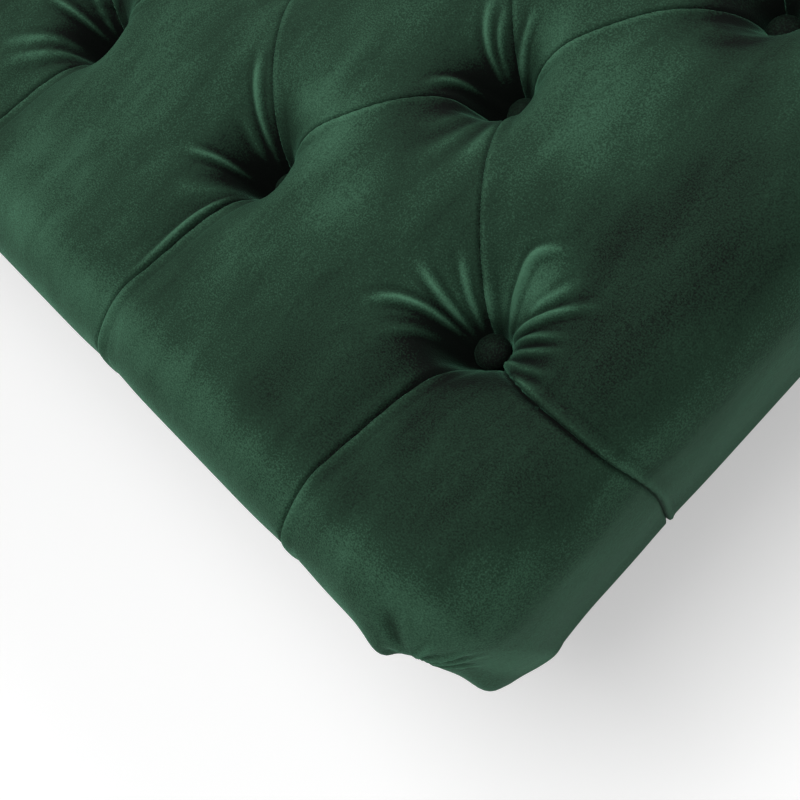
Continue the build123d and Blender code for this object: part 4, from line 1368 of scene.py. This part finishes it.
# %% [markdown]
# ## One recipe for the plain finishes
# Wood, steel, plastic, twine and dust cloth differ in colour and gloss, not in how they are made. So one
# function mixes two colours by a pattern, and the same pattern also changes the gloss and lifts the
# surface a little. No finish is one flat colour, because no real one is.

# %% Plain finish
def finish_material(
        name, group, pattern, dark, light, roughness, metallic=0.0, coat=0.0, turn=(0, 0, 0), height=0.0002):
    """A finish that mixes two colours by one output of a pattern group, and is bumped by it."""
    material, nodes, links = new_material(name)
    shader = nodes["Principled BSDF"]
    set_inputs(shader, {"Metallic": metallic, "Coat Weight": coat, "Coat Roughness": 0.25})
    place = nodes.new("ShaderNodeTexCoord")
    turned = nodes.new("ShaderNodeMapping")
    set_inputs(turned, {"Rotation": turn})
    links.new(place.outputs["Object"], turned.inputs["Vector"])
    made = nodes.new("ShaderNodeGroup")
    made.node_tree = group
    links.new(turned.outputs["Vector"], made.inputs["Vector"])
    ramp = nodes.new("ShaderNodeValToRGB")
    ramp.color_ramp.elements[0].color = (*dark, 1.0)
    ramp.color_ramp.elements[1].color = (*light, 1.0)
    links.new(made.outputs[pattern], ramp.inputs["Fac"])
    links.new(ramp.outputs["Color"], shader.inputs["Base Color"])
    links.new(spread(nodes, links, made.outputs[pattern], 0.0, 1.0, *roughness), shader.inputs["Roughness"])
    links.new(bump(nodes, links, made.outputs[pattern], 0.3, height), shader.inputs["Normal"])
    return material


foam = finish_material("cut_foam", pile, "Grain", (0.62, 0.55, 0.38), (0.75, 0.68, 0.5), (0.9, 1.0))
print("first plain finish:", foam.name)

# %% [markdown]
# ## Finishes of the frame's own pieces
# Legs, rails and fixings come straight from the frame and only need a finish. The record names a slot for
# each piece, so a table from slot to finish is enough, and a new piece of the frame gets its finish by
# itself. The grain of rails and boards is turned to run along the chaise longue.

# %% Other materials
ALONG_X = (0.0, np.pi / 2, 0.0)
finishes = {
    "velvet": velvet,
    "foam": foam,
    "leg_wood": finish_material(
        "dark_leg_wood", streaks, "Streak", (0.012, 0.006, 0.004), (0.06, 0.028, 0.015), (0.42, 0.3),
        coat=0.35),
    "frame_wood": finish_material(
        "bare_softwood", streaks, "Streak", (0.36, 0.22, 0.1), (0.55, 0.38, 0.2), (0.7, 0.6), turn=ALONG_X),
    "plywood": finish_material(
        "plywood", streaks, "Streak", (0.42, 0.27, 0.13), (0.58, 0.42, 0.24), (0.7, 0.6), turn=ALONG_X),
    "steel": finish_material(
        "zinc_steel", streaks, "Pores", (0.45, 0.45, 0.43), (0.62, 0.62, 0.6), (0.42, 0.28), metallic=1.0),
    "twine": finish_material(
        "waxed_twine", weave, "Thread", (0.35, 0.3, 0.2), (0.65, 0.58, 0.44), (0.6, 0.5)),
    "plastic": finish_material(
        "moulded_plastic", pile, "Grain", (0.012, 0.012, 0.012), (0.022, 0.022, 0.022), (0.5, 0.4)),
    "dust_cloth": finish_material(
        "nonwoven_cloth", weave, "Thread", (0.006, 0.006, 0.006), (0.02, 0.02, 0.02), (0.95, 0.85)),
}
for part in frame["record"]["subparts"]:
    node = frame["nodes"][part["node"]]
    node.data.materials.clear()
    node.data.materials.append(finishes[part["material_slot"]])
dust.data.materials.append(finishes["dust_cloth"])

# %% [markdown]
# ## Floor
# The chaise longue stands on a white painted floor that runs out into plain white. A pure white emitter
# would swallow the shadow. So the floor is white paint that takes the shadow, and only what a camera,
# glossy or transmission ray sees is lifted towards white, more so further out. The lift lights nothing.

# %% Floor
FLOOR_HALF = 8.0
LIFT_FROM, LIFT_TO = 1.1, 3.2
NEAR_LIFT, FAR_LIFT = 0.36, 0.8
floor_mesh = bpy.data.meshes.new("floor")
floor_corners = [(x * FLOOR_HALF, y * FLOOR_HALF, 0.0) for x, y in ((-1, -1), (1, -1), (1, 1), (-1, 1))]
floor_mesh.from_pydata(floor_corners, [], [(0, 1, 2, 3)])
floor = place_object("floor", floor_mesh)


def floor_material():
    """White paint that keeps the shadow. Only what the camera sees is lifted towards white."""
    material, nodes, links = new_material("floor_white")
    paint = nodes["Principled BSDF"]
    set_inputs(paint, {"Base Color": (0.8, 0.8, 0.8, 1.0), "Roughness": 0.7})
    lift = nodes.new("ShaderNodeEmission")
    place = nodes.new("ShaderNodeTexCoord")
    reach = nodes.new("ShaderNodeVectorMath")
    reach.operation = "LENGTH"
    links.new(place.outputs["Object"], reach.inputs[0])
    amount = spread(nodes, links, reach.outputs["Value"], LIFT_FROM, LIFT_TO, NEAR_LIFT, FAR_LIFT)
    strength = math(nodes, links, "MULTIPLY", seen_directly(nodes, links), amount)
    links.new(strength, lift.inputs["Strength"])
    both = nodes.new("ShaderNodeAddShader")
    links.new(paint.outputs["BSDF"], both.inputs[0])
    links.new(lift.outputs["Emission"], both.inputs[1])
    links.new(both.outputs["Shader"], nodes["Material Output"].inputs["Surface"])
    return material


floor.data.materials.append(floor_material())
print("floor of", [round(side, 1) for side in floor.dimensions[:2]], "m")

# %% [markdown]
# ## Room
# The room gives soft light from everywhere. An environment picture could do that, but it would be a file. A
# plain world that is a little brighter behind the head end has the same effect on dark velvet, and to the
# camera it is white.

# %% Room
FOOT_LEVEL, HEAD_LEVEL, SEEN_LEVEL = 0.3, 0.4, 0.6


def studio_world():
    """A bright room behind the head end, dimmer at the foot, where the camera stands."""
    world = bpy.data.worlds.new("studio")
    bpy.context.scene.world = world
    world.use_nodes = True
    nodes, links = world.node_tree.nodes, world.node_tree.links
    place = nodes.new("ShaderNodeTexCoord")
    parts = nodes.new("ShaderNodeSeparateXYZ")
    links.new(place.outputs["Generated"], parts.inputs["Vector"])
    set_inputs(nodes["Background"], {"Color": (1.0, 1.0, 1.0, 1.0)})
    level = spread(nodes, links, parts.outputs["X"], -0.8, 0.9, FOOT_LEVEL, HEAD_LEVEL)
    strength = math(nodes, links, "MULTIPLY_ADD", seen_directly(nodes, links), SEEN_LEVEL, level)
    links.new(strength, nodes["Background"].inputs["Strength"])


studio_world()
print("world:", bpy.context.scene.world.name)

# %% [markdown]
# ## Lamps
# Two large soft lamps model the tufts: one high above the foot end, and one from the far side, which leaves
# the sides of the pillows near the camera darker and the edges pale. Small lamps would draw hard shadows,
# which the photograph doesn't have.

# %% Lamps
LIT_CORNER = Vector((-0.6, 0.2, 0.4))


def soft_light(name, place, size, power):
    """A square lamp that looks at the photographed corner."""
    data = bpy.data.lights.new(name, "AREA")
    data.shape = "RECTANGLE"
    data.size = data.size_y = size
    data.energy = power
    turn = (LIT_CORNER - Vector(place)).to_track_quat("-Z", "Y").to_matrix()
    place_object(name, data).matrix_world = Matrix.Translation(place) @ turn.to_4x4()


soft_light("ceiling", (-0.85, 0.3, 2.8), 1.3, 42.0)
soft_light("window", (0.52, -1.26, 2.0), 0.8, 24.0)

# %% [markdown]
# ## Camera
# The photograph looks down on the foot-end corner with the camera turned, so that the seat hangs as a
# diamond from the top of the picture. The camera is given by where it stands, measured from the foot, the
# outer row of buttons and the crown, by which way its picture runs right and down, and by its focal length
# in pixels.

# %% Camera
FOCAL_PIXELS = 1374.0
PICTURE_PIXELS = 800
EYE_BEFORE_FOOT, EYE_PAST_ROW, EYE_ABOVE_CROWN = 243.0, 72.0, 576.0
camera_data = bpy.data.cameras.new("camera")
camera_data.sensor_width = 36.0
camera_data.lens = FOCAL_PIXELS / PICTURE_PIXELS * camera_data.sensor_width
camera_data.clip_end = 60.0
camera = place_object("camera", camera_data)
right = Vector((-0.641, -0.675, -0.365))
down = Vector((-0.567, 0.738, -0.367))
forward = right.cross(down).normalized()
right = down.cross(forward).normalized()
down = forward.cross(right).normalized()
turn = Matrix((right, -down, -forward)).transposed()
eye = Vector((FOOT_X - EYE_BEFORE_FOOT, 2 * ROW + EYE_PAST_ROW, CROWN_Z + EYE_ABOVE_CROWN)) * MM
camera.matrix_world = Matrix.Translation(eye) @ turn.to_4x4()
bpy.context.scene.camera = camera
bpy.context.scene.view_settings.view_transform = "Standard"
print(f"camera at {tuple(round(c, 3) for c in eye)} m with a {camera_data.lens:.1f} mm lens")
